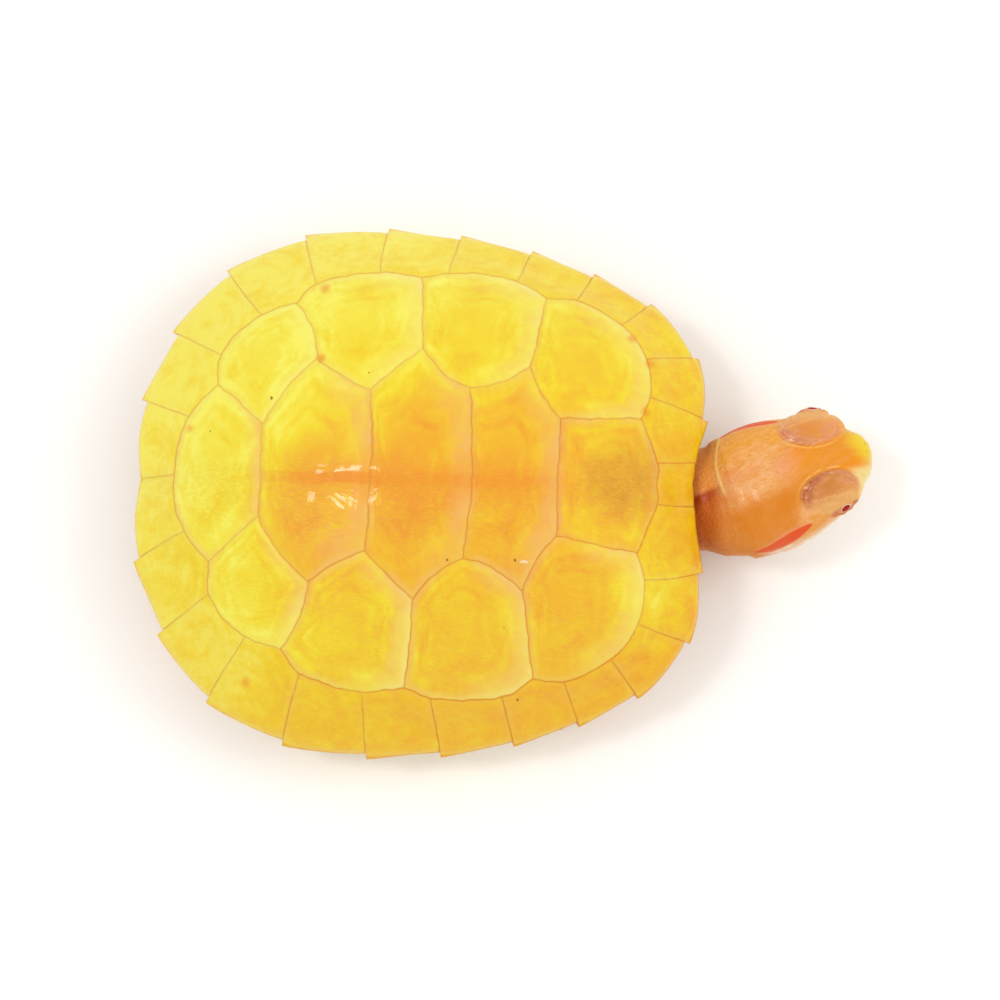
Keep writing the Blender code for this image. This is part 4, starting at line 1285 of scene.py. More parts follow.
class Wire:
    # an output socket; expressions on wires add the nodes
    def __init__(self, tree, socket=None):
        self.tree = tree
        self.socket = socket

    def node(self, kind, settings=None, inputs=None, output=0):
        made = self.tree.nodes.new(kind)
        for key, value in (settings or {}).items():
            if key == "stops":
                ramp = made.color_ramp
                while len(ramp.elements) < len(value):
                    ramp.elements.new(0.5)
                for element, (place, tint) in zip(ramp.elements, value):
                    element.position = place
                    element.color = tint
            else:
                setattr(made, key, value)
        for key, value in (inputs or {}).items():
            if isinstance(value, Wire):
                self.tree.links.new(value.socket, made.inputs[key])
            else:
                made.inputs[key].default_value = value
        return Wire(self.tree, made.outputs[output])

    def maths(self, operation, *values):
        return self.node("ShaderNodeMath", {"operation": operation}, dict(enumerate(values)))

    __add__ = arithmetic("ADD")
    __radd__ = arithmetic("ADD", True)
    __sub__ = arithmetic("SUBTRACT")
    __rsub__ = arithmetic("SUBTRACT", True)
    __mul__ = arithmetic("MULTIPLY")
    __rmul__ = arithmetic("MULTIPLY", True)
    __truediv__ = arithmetic("DIVIDE")
    __pow__ = arithmetic("POWER")

    def field(self, name, output="Fac"):
        return self.node("ShaderNodeAttribute", {"attribute_name": name}, None, output)

    def rise(self, low, high, start=0.0, end=1.0):
        # smooth step from start to end while the wire goes from low to high
        return self.node("ShaderNodeMapRange", {"interpolation_type": "SMOOTHSTEP"},
                         {"Value": self, "From Min": low, "From Max": high, "To Min": start, "To Max": end})

    def near(self, middle, width):
        # 1 at middle, falling off smoothly to each side
        return self.maths("ABSOLUTE", self - middle).rise(0, width, 1, 0)

    def wave(self):
        return self.maths("SINE", self)

    def mix(self, a, b):
        # this wire is the share of b
        return self.node("ShaderNodeMix", {"data_type": "RGBA"}, {0: self, 6: a, 7: b}, 2)

    def parts(self):
        split = self.node("ShaderNodeSeparateXYZ", None, {0: self})
        outputs = split.socket.node.outputs
        return [Wire(self.tree, outputs[k]) for k in range(3)]

    def joined(self, x, y, z=0.0):
        return self.node("ShaderNodeCombineXYZ", None, {0: x, 1: y, 2: z})

    def length(self, x, y):
        return self.maths("SQRT", x ** 2.0 + y ** 2.0)

    def scaled(self, factors):
        return self.node("ShaderNodeVectorMath", {"operation": "MULTIPLY"}, {0: self, 1: factors})

    def noise(self, scale, detail=3.0, roughness=0.5, distortion=0.0):
        return self.node("ShaderNodeTexNoise", None, {"Vector": self, "Scale": scale, "Detail": detail,
                                                      "Roughness": roughness, "Distortion": distortion})

    def cells(self, size):
        # distance to the edge of an irregular cell
        return self.node("ShaderNodeTexVoronoi", {"feature": "DISTANCE_TO_EDGE"},
                         {"Vector": self, "Scale": 1 / size}, "Distance")

    def bump(self, strength, distance):
        return self.node("ShaderNodeBump", None, {"Strength": strength, "Distance": distance, "Height": self})


def newMaterial(name, values):
    # a Principled material; values are set on its sockets
    made = bpy.data.materials.new(name)
    made.use_nodes = True
    tree = made.node_tree
    shader = tree.nodes["Principled BSDF"]
    for key, value in values.items():
        shader.inputs[key].default_value = value
    return made, shader, Wire(tree)


def connect(shader, links):
    for key, wire in links.items():
        wire.tree.links.new(wire.socket, shader.inputs[key])


def placeOf(w):
    return w.node("ShaderNodeTexCoord", None, None, "Object")


shellTints = {
    "pale": "#F8EC8C", "peach": "#F4CE88", "pink": "#F2BC72", "seam": "#EAAE60", "seamDeep": "#D88C40",
    "seamPale": "#F6CA64", "core": "#F29A30", "umber": "#D8922E", "stain": "#EE9A28", "speck": "#7A3A10",
    "flake": "#FFF2DA", "keel": "#F29818", "rimLight": "#F8E450", "rimLine": "#DE9430", "under": "#F6DD9C",
    "gold": "#F2BC00",
}
shellLook = {
    # from the palest lemon at the rear to orange along the keel
    "stops": ((0.0, "#F8F166"), (0.17, "#F6E54C"), (0.34, "#F4D936"), (0.50, "#F3CA2E"), (0.67, "#F2BB2A"),
              (0.83, "#F1AC28"), (1.0, "#EE9A1C")),
    "leanMost": 1.5,
    "middleShare": {"vertebral": 1.0, "costal": 0.60},
    "crinkle": {"vertebral": 1.2, "costal": 0.6},
    "seamWidth": 0.18,          # in millimetres, as is the pale border
    "borderWidth": 1.0,
    # forward, left, radius
    "stains": ((-0.339, 0.654, 0.024), (-0.337, 0.382, 0.018), (0.780, 0.441, 0.022), (0.767, 0.262, 0.022),
               (0.715, 0.531, 0.020), (-0.786, 0.154, 0.020), (-0.560, -0.700, 0.020)),
    "specks": ((-0.502, 0.246, 0.008), (-0.172, 0.331, 0.004), (-0.707, 0.137, 0.004),
               (0.114, -0.296, 0.007), (0.343, -0.284, 0.008), (0.314, -0.504, 0.004),
               (0.368, -0.726, 0.006)),
    "flake": (0.372, -0.287),
    "patch": (0.640, 0.004),    # the darker patch on the foremost vertebral
    # paler ground: forward, left, radius, change of lean
    "paler": ((0.82, -0.36, 0.24, -0.70), (-0.62, -0.68, 0.20, -0.22), (0.85, 0.45, 0.40, -0.20),
              (-0.72, -0.62, 0.42, -0.26)),
}


def shellFields(w, part):
    # the wires that the shell's colour and relief share
    at = SimpleNamespace(seam=w.field("seam"), ring=w.field("ring"))
    at.f, at.s, _ = w.field("plan", "Vector").parts()
    at.x, at.y, at.reach = w.field("spoke", "Vector").parts()
    place = placeOf(w)
    at.cloud = place.noise(170, 3, 0.6)
    at.middling = place.noise(560, 3, 0.6)
    at.grain = place.noise(3600, 2, 0.6, 0.6)
    # bands round the middle of growth, and streaks running out from it
    warped = at.ring + (at.cloud - 0.5) * 0.45 + (at.middling - 0.5) * 0.05
    at.bands = w.joined(warped * 4.6, at.x * 1.1, at.y * 1.1).noise(1.4, 2, 0.55)
    at.streaks = w.joined(at.x * 10.0, at.y * 10.0, at.reach * 0.3).noise(1.0, 3, 0.6)
    # fine crinkles drawn out along the shell, right of the keel
    bent = at.s + at.f * 0.12 + (at.cloud - 0.5) * 0.05 + (at.middling - 0.5) * 0.012
    at.hairs = w.joined(at.f * 40.0, bent * 140.0).noise(1.0, 2, 0.65, 0.6)
    at.brushed = at.s.rise(0.10, -0.03, 0.12, 1) * at.ring.rise(0.95, 0.50, 0.15, 1)
    if part == "marginal":
        at.rim = w.field("rim")
        at.drawn = w.joined(at.reach * 0.9, at.x * 1.6, at.f * 9.0).noise(1.0, 3, 0.6)
    else:
        # the shell's warm middle
        leftward = at.s - at.f * at.f.rise(-0.1, 0.1, 0.40, 0)
        middle = at.s.rise(-0.56, -0.28) * leftward.rise(0.44, 0.06, 0, 1)
        middle = middle * at.f.rise(-0.64, -0.36) * at.f.rise(0.46, 0.60, 1, 0.35)
        middle = middle * at.f.rise(0.72, 0.86, 1, 0)
        at.middle = middle * shellLook["middleShare"][part]
    # pale borders, wide towards the front, where the youngest horn lies
    at.uneven = at.cloud.rise(0.42, 0.62)
    at.border = at.seam.rise(0.05, shellLook["borderWidth"], 1, 0) * (0.05 + at.uneven * 0.6 + at.bands * 0.3)
    at.young = at.x.rise(0.05, 0.75) * (at.ring + (at.middling - 0.5) * 0.22).rise(0.60, 0.92)
    return at


def awayFrom(at, spot, wander, stretch=(1.0, 1.0)):
    # distance over the plan from a spot, with a ragged edge
    return at.f.length((at.f - spot[0]) * stretch[0], (at.s - spot[1]) * stretch[1]) + wander


def shellLean(at, part):
    # 0 is the palest lemon, leanMost is orange
    f, s, ring = at.f, at.s, at.ring
    lean = f * 0.46 - s * 0.34 + 0.56
    if part != "marginal":
        lean = lean + at.middle * (1.14 - lean)
    if part != "vertebral":
        for *spot, radius, change in shellLook["paler"]:
            lean = lean + awayFrom(at, spot, (at.middling - 0.5) * 0.08).rise(0.0, radius, change, 0)
    if part == "marginal":
        lean = lean + (at.cloud - 0.5) * 0.9 + (at.middling - 0.5) * 0.5
        lean = lean + (at.drawn - 0.5) * 1.1 + (at.streaks - 0.5) * 0.5
        return lean + s.rise(-0.5, -0.9, 0, 0.06) * f.rise(-0.5, -0.2) * f.rise(0.5, 0.7, 1, 0)
    lean = lean + (at.cloud - 0.5) * 0.8 + (at.middling - 0.5) * 0.25
    lean = lean + (ring.rise(0.10, 0.85, 1, 0) - 0.55) * 0.12
    lean = lean + (at.bands - 0.5) * ring.rise(0.2, 0.6, 0.2, 1.1)
    lean = lean + (at.streaks - 0.5) * ring.rise(0.4, 0.9, 0.05, 0.5)
    lean = lean + (at.hairs - 0.5) * at.brushed * shellLook["crinkle"][part]
    return lean + at.x.rise(-0.1, -0.7) * at.seam.rise(0.0, 0.9, 0.25, 0)


def vertebralTint(at, tint, tints, lean):
    # pinkish borders, the deep orange crest of the keel, and a darker patch on the foremost plate
    f, s = at.f, at.s
    tint = (at.border * 0.5).mix(tint, tints["peach"])
    front = at.young * f.rise(0.52, 0.60, 1, 0) * f.rise(-0.62, -0.50)
    tint = (front * (0.10 + at.bands * 0.55 + at.uneven * 0.35)).mix(tint, tints["pink"])
    crest = (s + (at.middling - 0.5) * 0.03).near(-0.024, 0.034).rise(0.0, 0.7) * f.rise(-0.60, -0.34)
    crest = crest * f.rise(-0.30, -0.05, 1, 0.25) * (0.4 + at.bands * 0.7) * f.rise(0.30, 0.60, 1, 0)
    glow = s.near(-0.03, 0.13) * f.rise(-0.50, -0.15) * f.rise(0.30, 0.60, 0.75, 0) * (0.6 + at.bands * 0.6)
    tint = ((crest + glow) * (0.50 + at.hairs * 0.6)).mix(tint, tints["keel"])
    away = awayFrom(at, shellLook["patch"], (at.middling - 0.5) * 0.05) - (f - shellLook["patch"][0]) * 0.5
    mottled = (at.hairs * 0.35 + at.cloud * 0.7).rise(0.38, 0.72, 0.35, 1)
    return (away.rise(0.02, 0.17, 0.95, 0) * mottled).mix(tint, tints["umber"])


def costalTint(at, tint, tints, lean):
    paleTint = at.middle.rise(0.02, 0.40).mix(tints["pale"], tints["peach"])
    young = at.young * 0.40 * (0.2 + at.bands + at.uneven * 0.2)
    return (at.border * 0.40 + young).mix(tint, paleTint)


def marginalTint(at, tint, tints, lean):
    # a painted highlight band inside the rim, an orange line along it, and a pale underside
    tint = (at.border * 0.20).mix(tint, tints["pale"])
    # painted highlight: a bright yellow band just inside the rim's edge
    tint = (at.rim.near(0.55, 0.55) * (0.2 + at.drawn * 0.8) * 0.45).mix(tint, tints["rimLight"])
    tint = (at.rim.rise(0.08, 0.32, 1, 0) * lean.rise(-0.2, 0.9, 0.45, 0.9)).mix(tint, tints["rimLine"])
    tint = (at.s.rise(-0.1, -0.8, 0.16, 0.34) * at.rim.rise(0.0, 0.3)).mix(tint, tints["gold"])
    return at.rim.rise(-0.15, -0.45).mix(tint, tints["under"])


def seamTint(at, tint, tints, lean):
    line = (at.seam + (at.middling - 0.5) * 0.14).rise(0.0, shellLook["seamWidth"], 1, 0)
    lineTint = lean.rise(0.3, 1.1).mix(tints["seam"], tints["seamDeep"])
    tint = (line * (0.05 + at.cloud * 0.8)).mix(tint, lineTint)
    coreTint = lean.rise(0.35, 0.95).mix(tints["seamPale"], tints["core"])
    return at.seam.rise(0.02, 0.06, 0.85, 0).mix(tint, coreTint), line


def spotTint(at, tint, tints, part):
    # orange stains, dark specks, and one flake of loose horn
    for *spot, radius in shellLook["stains"]:
        share = awayFrom(at, spot, (at.middling - 0.5) * 0.03).rise(0.0, radius * 1.3, 0.75, 0)
        tint = share.mix(tint, tints["stain"])
    for *spot, radius in shellLook["specks"]:
        away = awayFrom(at, spot, (at.hairs - 0.5) * 0.006, (1.0, 0.775))
        tint = away.rise(radius * 0.25, radius * 0.8, 0.85, 0).mix(tint, tints["speck"])
    if part != "marginal":
        away = awayFrom(at, shellLook["flake"], (at.hairs - 0.5) * 0.03, (0.5, 1.3))
        tint = away.rise(0.002, 0.010, 0.7, 0).mix(tint, tints["flake"])
    return tint


def shellFinish(name, part):
    made, shader, w = newMaterial(name, {
        "IOR": 1.5, "Specular IOR Level": 0.25, "Coat Roughness": 0.05, "Coat IOR": 1.45,
        "Subsurface Weight": 0.10, "Subsurface Radius": (1.0, 0.45, 0.12), "Subsurface Scale": 0.0010})
    tints = paints(shellTints)
    at = shellFields(w, part)
    lean = shellLean(at, part)
    stops = list(paints(dict(shellLook["stops"])).items())
    tint = w.node("ShaderNodeValToRGB", {"stops": stops}, {0: lean * (1 / shellLook["leanMost"])})
    if part != "marginal":
        # painted highlight: pale glints on the peaks of the crinkles right of the keel
        glow = at.hairs.rise(0.56, 0.70) * at.brushed
        tint = (glow * shellLook["crinkle"][part] * 0.18).mix(tint, tints["pale"])
    over = {"vertebral": vertebralTint, "costal": costalTint, "marginal": marginalTint}[part]
    tint, line = seamTint(at, over(at, tint, tints, lean), tints, lean)
    tint = spotTint(at, tint, tints, part)
    # relief: crinkles, folds towards the edge, growth rings, and a fine grain
    rings = (at.ring * 26 + at.middling * 3.0 + at.cloud * 5).wave()
    height = (at.hairs * (0.3 + at.brushed * 1.9) + at.streaks * at.ring.rise(0.3, 0.75, 0, 1.3)
              + at.grain * 0.4 + rings * at.ring.rise(0.4, 0.7, 0, 0.30))
    connect(shader, {"Base Color": tint, "Roughness": 0.24 + at.middling * 0.16 + line * 0.2,
                     "Normal": height.bump(0.75, 0.00006),
                     "Coat Weight": (0.42 + at.cloud * 0.3) * (0.5 if part == "marginal" else 1.0)})
    return made


plastronLook = {"cream": colour("#F4D774"), "golden": colour("#F0B848"), "blush": colour("#EDB06A"),
                "seam": colour("#D9A258")}


def plastronFinish():
    look = plastronLook
    made, shader, w = newMaterial("plastron_cream", {
        "IOR": 1.5, "Specular IOR Level": 0.5, "Coat Roughness": 0.2,
        "Subsurface Weight": 0.12, "Subsurface Radius": (1.0, 0.45, 0.12), "Subsurface Scale": 0.0012})
    seam = w.field("seam")
    ring = w.field("ring")
    place = placeOf(w)
    cloud = place.noise(150, 3, 0.55)
    tint = cloud.rise(0.3, 0.7).mix(look["cream"], look["golden"])
    blotch = place.noise(90, 4, 0.6).rise(0.48, 0.66) * ring.rise(0.9, 0.4)
    tint = (blotch * 0.5).mix(tint, look["blush"])
    bands = ((ring * 9 + (place.noise(220, 2, 0.5) - 0.5) * 2) * math.tau).wave()
    tint = (bands.rise(0, 1) * 0.12).mix(tint, look["cream"])
    tint = (seam.rise(0.03, 0.16, 1, 0) * 0.8).mix(tint, look["seam"])
    height = bands * 0.2 + place.noise(2400, 2, 0.6) * 0.3
    connect(shader, {"Base Color": tint, "Roughness": 0.36 + cloud * 0.18,
                     "Normal": height.bump(0.3, 0.00005), "Coat Weight": 0.2 + cloud * 0.2})
    return made


skinTints = {
    "peach": "#F0B078", "orange": "#EA9C48", "deepOrange": "#DE8634", "vein": "#F8CFA2", "amber": "#EFA83E",
    "between": "#F0972E", "rose": "#F0A688", "yellow": "#F2D848", "beakPale": "#F6E59C", "cream": "#FAEBD6",
    "flank": "#EFC692", "blush": "#F2B49A", "ear": "#E65A2A", "earEdge": "#F3A488", "mauve": "#C87858",
    "mauveDeep": "#A85038", "olive": "#C27A38", "lidTan": "#DE9A58", "lidRose": "#E29872",
    "lidPink": "#EEA27C", "lidAmber": "#EDA660", "lidBrown": "#DA8638", "lidLight": "#ECBA74",
    "line": "#FAD48A", "glint": "#FFEBDA", "neck": "#DC8040", "neckLight": "#F6A25C", "neckDeep": "#B84C12",
    "limb": "#F3B478", "limbDeep": "#E99C5C", "limbPale": "#F8E0A0", "crease": "#CC7A40",
    "mouth": "#B4602E", "nostril": "#B0683A",
}


def skinFields(w):
    # the wires that all parts of the skin share; back, side and height are the head's coordinates
    at = SimpleNamespace(lid=w.field("lid"), fold=w.field("fold"), limb=w.field("limb"))
    at.back, at.side, at.height = w.field("headPlace", "Vector").parts()
    at.lidBack, at.lidOut, at.lidUp = w.field("lidPlace", "Vector").parts()
    at.wide = w.maths("ABSOLUTE", at.side)
    at.place = placeOf(w)
    at.cloud = at.place.noise(330, 3, 0.6)
    at.mottle = at.place.noise(1100, 3, 0.65)
    at.cells = at.place.cells(scales["size"])
    at.fineCells = at.place.cells(scales["fineSize"])
    at.onHead = at.back.rise(16.0, 19.5, 1, 0)
    at.onBody = at.back.rise(14.0, 17.0)
    along = w.joined(at.back * 0.45 + at.side * 0.25, at.side * 1.5, at.height * 0.3)
    at.fibres = along.noise(1.0, 4, 0.65, 1.2)
    return at


def bodyTint(w, at, tints):
    # body and limbs: peach with cream streaks, a darker line round each scale
    tint = at.cloud.rise(0.3, 0.7).mix(tints["limb"], tints["limbDeep"])
    across = w.joined(at.back * 0.12, at.side * 0.12, at.height * 0.9).noise(1.0, 2, 0.5)
    tint = (across.rise(0.50, 0.60) * at.limb * 0.7).mix(tint, tints["limbPale"])
    tint = (at.cells.rise(0.02, 0.14, 1, 0) * at.limb * 0.42).mix(tint, tints["crease"])
    return (at.fineCells.rise(0.02, 0.16, 1, 0) * (1 - at.limb) * at.onBody * 0.28).mix(tint, tints["crease"])


def crownTint(w, at, tints):
    # peach crown with pale veins, an orange run from the beak between the eyes to behind the right eye
    back, side, cloud = at.back, at.side, at.cloud
    tint = (cloud * 0.7 + at.mottle * 0.6).rise(0.48, 0.78, 0, 0.85).mix(tints["peach"], tints["orange"])
    tint = (side.rise(0.5, 3.5) * back.rise(7.0, 10.0) * (0.3 + cloud * 0.5)).mix(tint, tints["amber"])
    tint = (at.fibres.near(0.5, 0.04) * back.rise(6.0, 9.0) * 0.35).mix(tint, tints["vein"])
    tint = (at.fibres.near(0.41, 0.035) * back.rise(6.0, 9.0) * 0.30).mix(tint, tints["deepOrange"])
    rosy = (cloud * 1.3 - at.fibres * 0.5).rise(0.36, 0.52, 0, 0.5) * side.near(-0.4, 3.6)
    tint = rosy.mix(tint, tints["rose"])
    run = side - back.rise(2.0, 12.5, 0.6, -3.8)
    at.grained = w.joined(back * 0.16, run * 1.5, at.height * 0.3).noise(1.0, 3, 0.6)
    streaked = at.grained.rise(0.28, 0.62, 0.45, 1)
    between = (side + 0.25).near(0.0, 3.0).rise(0.0, 0.5) * back.rise(10.5, 6.5) * streaked
    tint = between.mix(tint, tints["between"])
    tint = (run.near(0.2, 2.2) * streaked * back.rise(12.0, 8.0, 0.2, 0.8)).mix(tint, tints["orange"])
    tint = (run.near(-0.5, 2.0) * back.near(9.8, 3.6) * (0.25 + at.mottle)).mix(tint, tints["deepOrange"])
    rear = side.rise(-1.6, -3.4) * back.rise(8.6, 10.6)
    return (rear * (0.45 + cloud * 0.7)).mix(tint, tints["deepOrange"])


def cheekOver(w, at, tint, tints):
    # cream lower down, blushing at the edge and behind the ear
    back, height = at.back, at.height
    flank = (height + back.rise(11.5, 15.0, 0, 2.2)).rise(10.4, 8.6, 0, 1) * back.rise(15.0, 18.0, 1, 0)
    cream = height.rise(7.8, 9.6).mix(tints["cream"], tints["flank"])
    cream = back.rise(10.0, 14.0, 0, 0.85).mix(cream, tints["blush"])
    tint = (flank * 0.9).mix(tint, cream)
    stripes = w.joined(back * 0.10, height * 1.6 + back * 0.22, at.side * 0.2).noise(1.6, 2, 0.5)
    return (flank * stripes.rise(0.50, 0.66) * 0.4).mix(tint, tints["blush"])


def beakOver(w, at, tint, tints):
    # yellow beak melting into the orange behind it, pale on its right side and towards its cutting edge
    back, side, height = at.back, at.side, at.height
    beak = back + w.maths("ABSOLUTE", side - 0.9) * 0.50 + height.rise(10.5, 7.0, 0, 0.9)
    beak = (beak + (at.grained - 0.5) * 1.6).rise(0.9, 3.5, 1, 0)
    paleSide = height.rise(9.9, 8.6) + (side + back * 0.25).rise(-0.5, -1.9) * 0.8
    tint = (beak * (0.65 + at.cloud * 0.4)).mix(tint, paleSide.mix(tints["yellow"], tints["beakPale"]))
    return (back.rise(2.0, 3.6, 1, 0) * side.rise(-1.5, -2.5) * 0.8).mix(tint, tints["beakPale"])


def lidTint(w, at, tints):
    # tan with an olive middle, mauve and crumpled at the rear and along the inner rim; paler on the left
    lidBack, lidOut, mottle = at.lidBack, at.lidOut, at.mottle
    leftward = at.side.rise(-1.0, 1.0)
    pulled = w.joined(lidBack * 0.8, lidOut * 3.0 + lidBack * 0.5, at.lidUp).noise(1.0, 3, 0.6)
    turn = w.maths("ARCTAN2", lidOut, lidBack)
    at.crumpled = w.joined(turn * 3.2, at.lidReach * 9.0, at.lidUp * 0.5).noise(1.0, 3, 0.65, 0.9)
    rear = (lidBack * 0.8 - lidOut * 0.75 + (at.cloud - 0.5) * 3.0).rise(0.3, 2.4)
    inner = (at.lidReach + (at.cloud - 0.5) * 0.35).rise(0.50, 0.88) * lidOut.rise(1.0, -0.4)
    inner = inner * lidBack.rise(-2.8, 1.2, 0.40, 0.85)
    at.crumpledShare = (rear + inner).rise(0, 1)
    tint = pulled.rise(0.35, 0.65).mix(leftward.mix(tints["lidTan"], tints["lidAmber"]), tints["lidRose"])
    spot = w.length((lidBack - 0.2) * 0.7, (lidOut + 0.15) * 1.1) + (pulled - 0.5) * 2.4
    tint = spot.rise(0.1, 1.9, 0.60, 0).mix(tint, leftward.mix(tints["olive"], tints["lidBrown"]))
    fleshy = leftward.mix(tints["mauve"], tints["lidPink"])
    tint = (at.crumpledShare * (0.25 + mottle * 1.1)).mix(tint, fleshy)
    deep = rear * inner * pulled.rise(0.40, 0.60) * at.side.rise(-1.0, 1.0, 0.9, 0.4)
    tint = deep.mix(tint, tints["mauveDeep"])
    # painted shade in the crumples' creases, pink on their sides, and painted glints on their crests along
    # the inner rim
    tint = (at.crumpled.near(0.44, 0.045) * at.crumpledShare * 0.75).mix(tint, tints["mauveDeep"])
    tint = (at.crumpled.rise(0.54, 0.62) * at.crumpledShare * 0.65).mix(tint, tints["blush"])
    tint = (at.crumpled.rise(0.61, 0.65) * inner * mottle.rise(0.48, 0.58) * 0.9).mix(tint, tints["glint"])
    tint = (lidOut.rise(0.3, 1.6) * (0.4 + pulled * 0.6)).mix(tint, tints["lidLight"])
    # painted highlight: a pale slanting streak over the outer side of the dome
    slanting = (lidOut + lidBack * 0.18 + (pulled - 0.5) * 1.2).near(0.85, 0.20)
    return (slanting * mottle.rise(0.42, 0.60) * 0.35).mix(tint, tints["line"])


def lidsOver(w, at, tint, tints):
    # the lids, the pale and dark lines round their domes, and the rim of the slit
    at.lidReach = w.length(at.lidBack * (1 / 3.35), (at.lidOut - 0.15) * (1 / 2.10))
    reach, mottle, cloud = at.lidReach, at.mottle, at.cloud
    onTop = (at.height + at.lidBack.rise(0.0, 2.5, 0, 1.2)).rise(8.2, 9.6) * at.back.rise(13, 12, 0, 1)
    at.onDome = (reach + (mottle - 0.5) * 0.16).rise(0.88, 1.06, 1, 0) * onTop
    tint = (at.onDome * 0.92).mix(tint, lidTint(w, at, tints))
    around = onTop * at.lidOut.rise(0.6, -0.4) * at.lidBack.rise(-3.0, -1.5, 0.3, 1)
    around = around * at.lidBack.rise(3.4, 2.0, 0.2, 1)
    patchy = mottle.rise(0.35, 0.6)
    tint = ((reach + (cloud - 0.5) * 0.12).near(1.11, 0.06) * around * patchy * 0.6).mix(tint, tints["line"])
    tint = ((reach + (mottle - 0.5) * 0.12).near(1.0, 0.05) * around * cloud.rise(0.38, 0.6) * 0.4).mix(
        tint, tints["mauveDeep"])
    for distance, share in ((1.26, 0.45), (1.44, 0.30)):
        furrow = (reach + (cloud - 0.5) * 0.14).near(distance, 0.05) * around * patchy
        tint = (furrow * share).mix(tint, tints["deepOrange"])
    return (at.lid.near(1.12, 0.16) * 0.75).mix(tint, tints["mauve"])


def mouthOver(w, at, tint, tints):
    # the line between the jaws, with a wrinkle that carries it on and a blush below
    back, height = at.back, at.height
    above = height - (back.rise(0.0, 3.6, 6.95, 6.42) + back.rise(5.2, 9.2, 0, 0.88))
    gape = (above + (at.mottle - 0.5) * 0.10).near(-0.02, 0.15) * back.rise(8.8, 9.6, 0.9, 0)
    tint = gape.mix(tint, tints["mouth"])
    return (above.near(-0.9, 0.8) * back.rise(8.0, 9.5, 0.35, 0) * at.mottle).mix(tint, tints["blush"])


def earOver(w, at, tint, tints):
    # the red patch behind the eye, pointed at both ends
    shape = w.maths("SQRT", at.back.near(11.6, 3.5))
    away = w.maths("ABSOLUTE", at.height - at.back.rise(8.0, 15.5, 10.95, 9.45) + (at.mottle - 0.5) * 0.12)
    away = away / (shape * 0.74 + 0.02)
    onFlank = at.wide.rise(3.6, 4.4)
    tint = (away.rise(0.9, 1.6, 1, 0) * shape * onFlank * 0.55).mix(tint, tints["earEdge"])
    below = away.near(1.75, 0.5) * at.height.rise(10.2, 9.6, 0, 1)
    tint = (below * onFlank * shape * 0.8).mix(tint, tints["cream"])
    return (away.rise(0.75, 1.05, 1, 0) * shape.rise(0.0, 0.3) * onFlank * (0.75 + at.cloud * 0.35)).mix(
        tint, tints["ear"])


def neckOver(w, at, tint, tints):
    # orange brown behind the pale fold; on the right, deep rust and orange brown towards the shell's edge,
    # partly the skin's colour and partly painted shadow of the shell's edge
    back, side, fold, mottle = at.back, at.side, at.fold, at.mottle
    away = back * math.cos(head["turn"]) + side * math.sin(head["turn"]) + (at.cloud - 0.5) * 1.2
    behind = fold.rise(0.1, 0.9) * side.rise(-2.0, 0.6) * back.rise(22, 27, 1, 0) * (1 - at.limb)
    tint = (behind * at.height.rise(4.5, 8.0, 0.25, 0.8)).mix(tint, tints["neckLight"])
    # the skin's rust, deepened with painted shadow where the shell's edge overhangs, mostly on the upper side
    rustAndShade = away.rise(14.4, 16.8) * side.rise(1.1, 0.4, 0.02, 1) + away.rise(16.8, 18.8, 0, 0.15)
    rustAndShade = rustAndShade * (1 - at.limb) * back.rise(21, 25, 1, 0) * at.height.rise(5.2, 8.6, 0.12, 0.9)
    tint = rustAndShade.mix(tint, tints["neckDeep"])
    tint = (away.rise(13.2, 15.2) * side.rise(0.2, -0.8) * 0.5).mix(tint, tints["neck"])
    # the fold's pale line, the seam of skin along the neck, and fine wrinkles at the fold's lower end
    onTop = at.height.rise(8.0, 10.0)
    line = fold.near(-0.02, 0.24) * onTop * side.rise(-1.0, 0.6, 0, 0.85) * mottle.rise(0.25, 0.5, 0.6, 1)
    tint = line.mix(tint, tints["line"])
    seam = (side - fold * neckLook["seamSwing"]).near(neckLook["seamSide"], 0.15)
    seam = seam * fold.rise(0.1, 0.5) * fold.rise(4, 6, 1, 0) * onTop
    tint = (seam * 0.6).mix(tint, tints["orange"])
    # painted highlight and shade of the wrinkles: pale on their crests, darker orange between them
    strokes = (fold * 8.0 + side * 2.5 + at.cloud * 14.0).wave()
    strokes = strokes * fold.rise(-0.5, 0.0) * fold.rise(1.0, 2.2, 1, 0) * side.near(-1.9, 1.7) * onTop
    tint = (strokes.rise(0.2, 0.9) * mottle * 0.45).mix(tint, tints["peach"])
    return (strokes.rise(-0.2, -0.8) * mottle * 0.35).mix(tint, tints["deepOrange"])


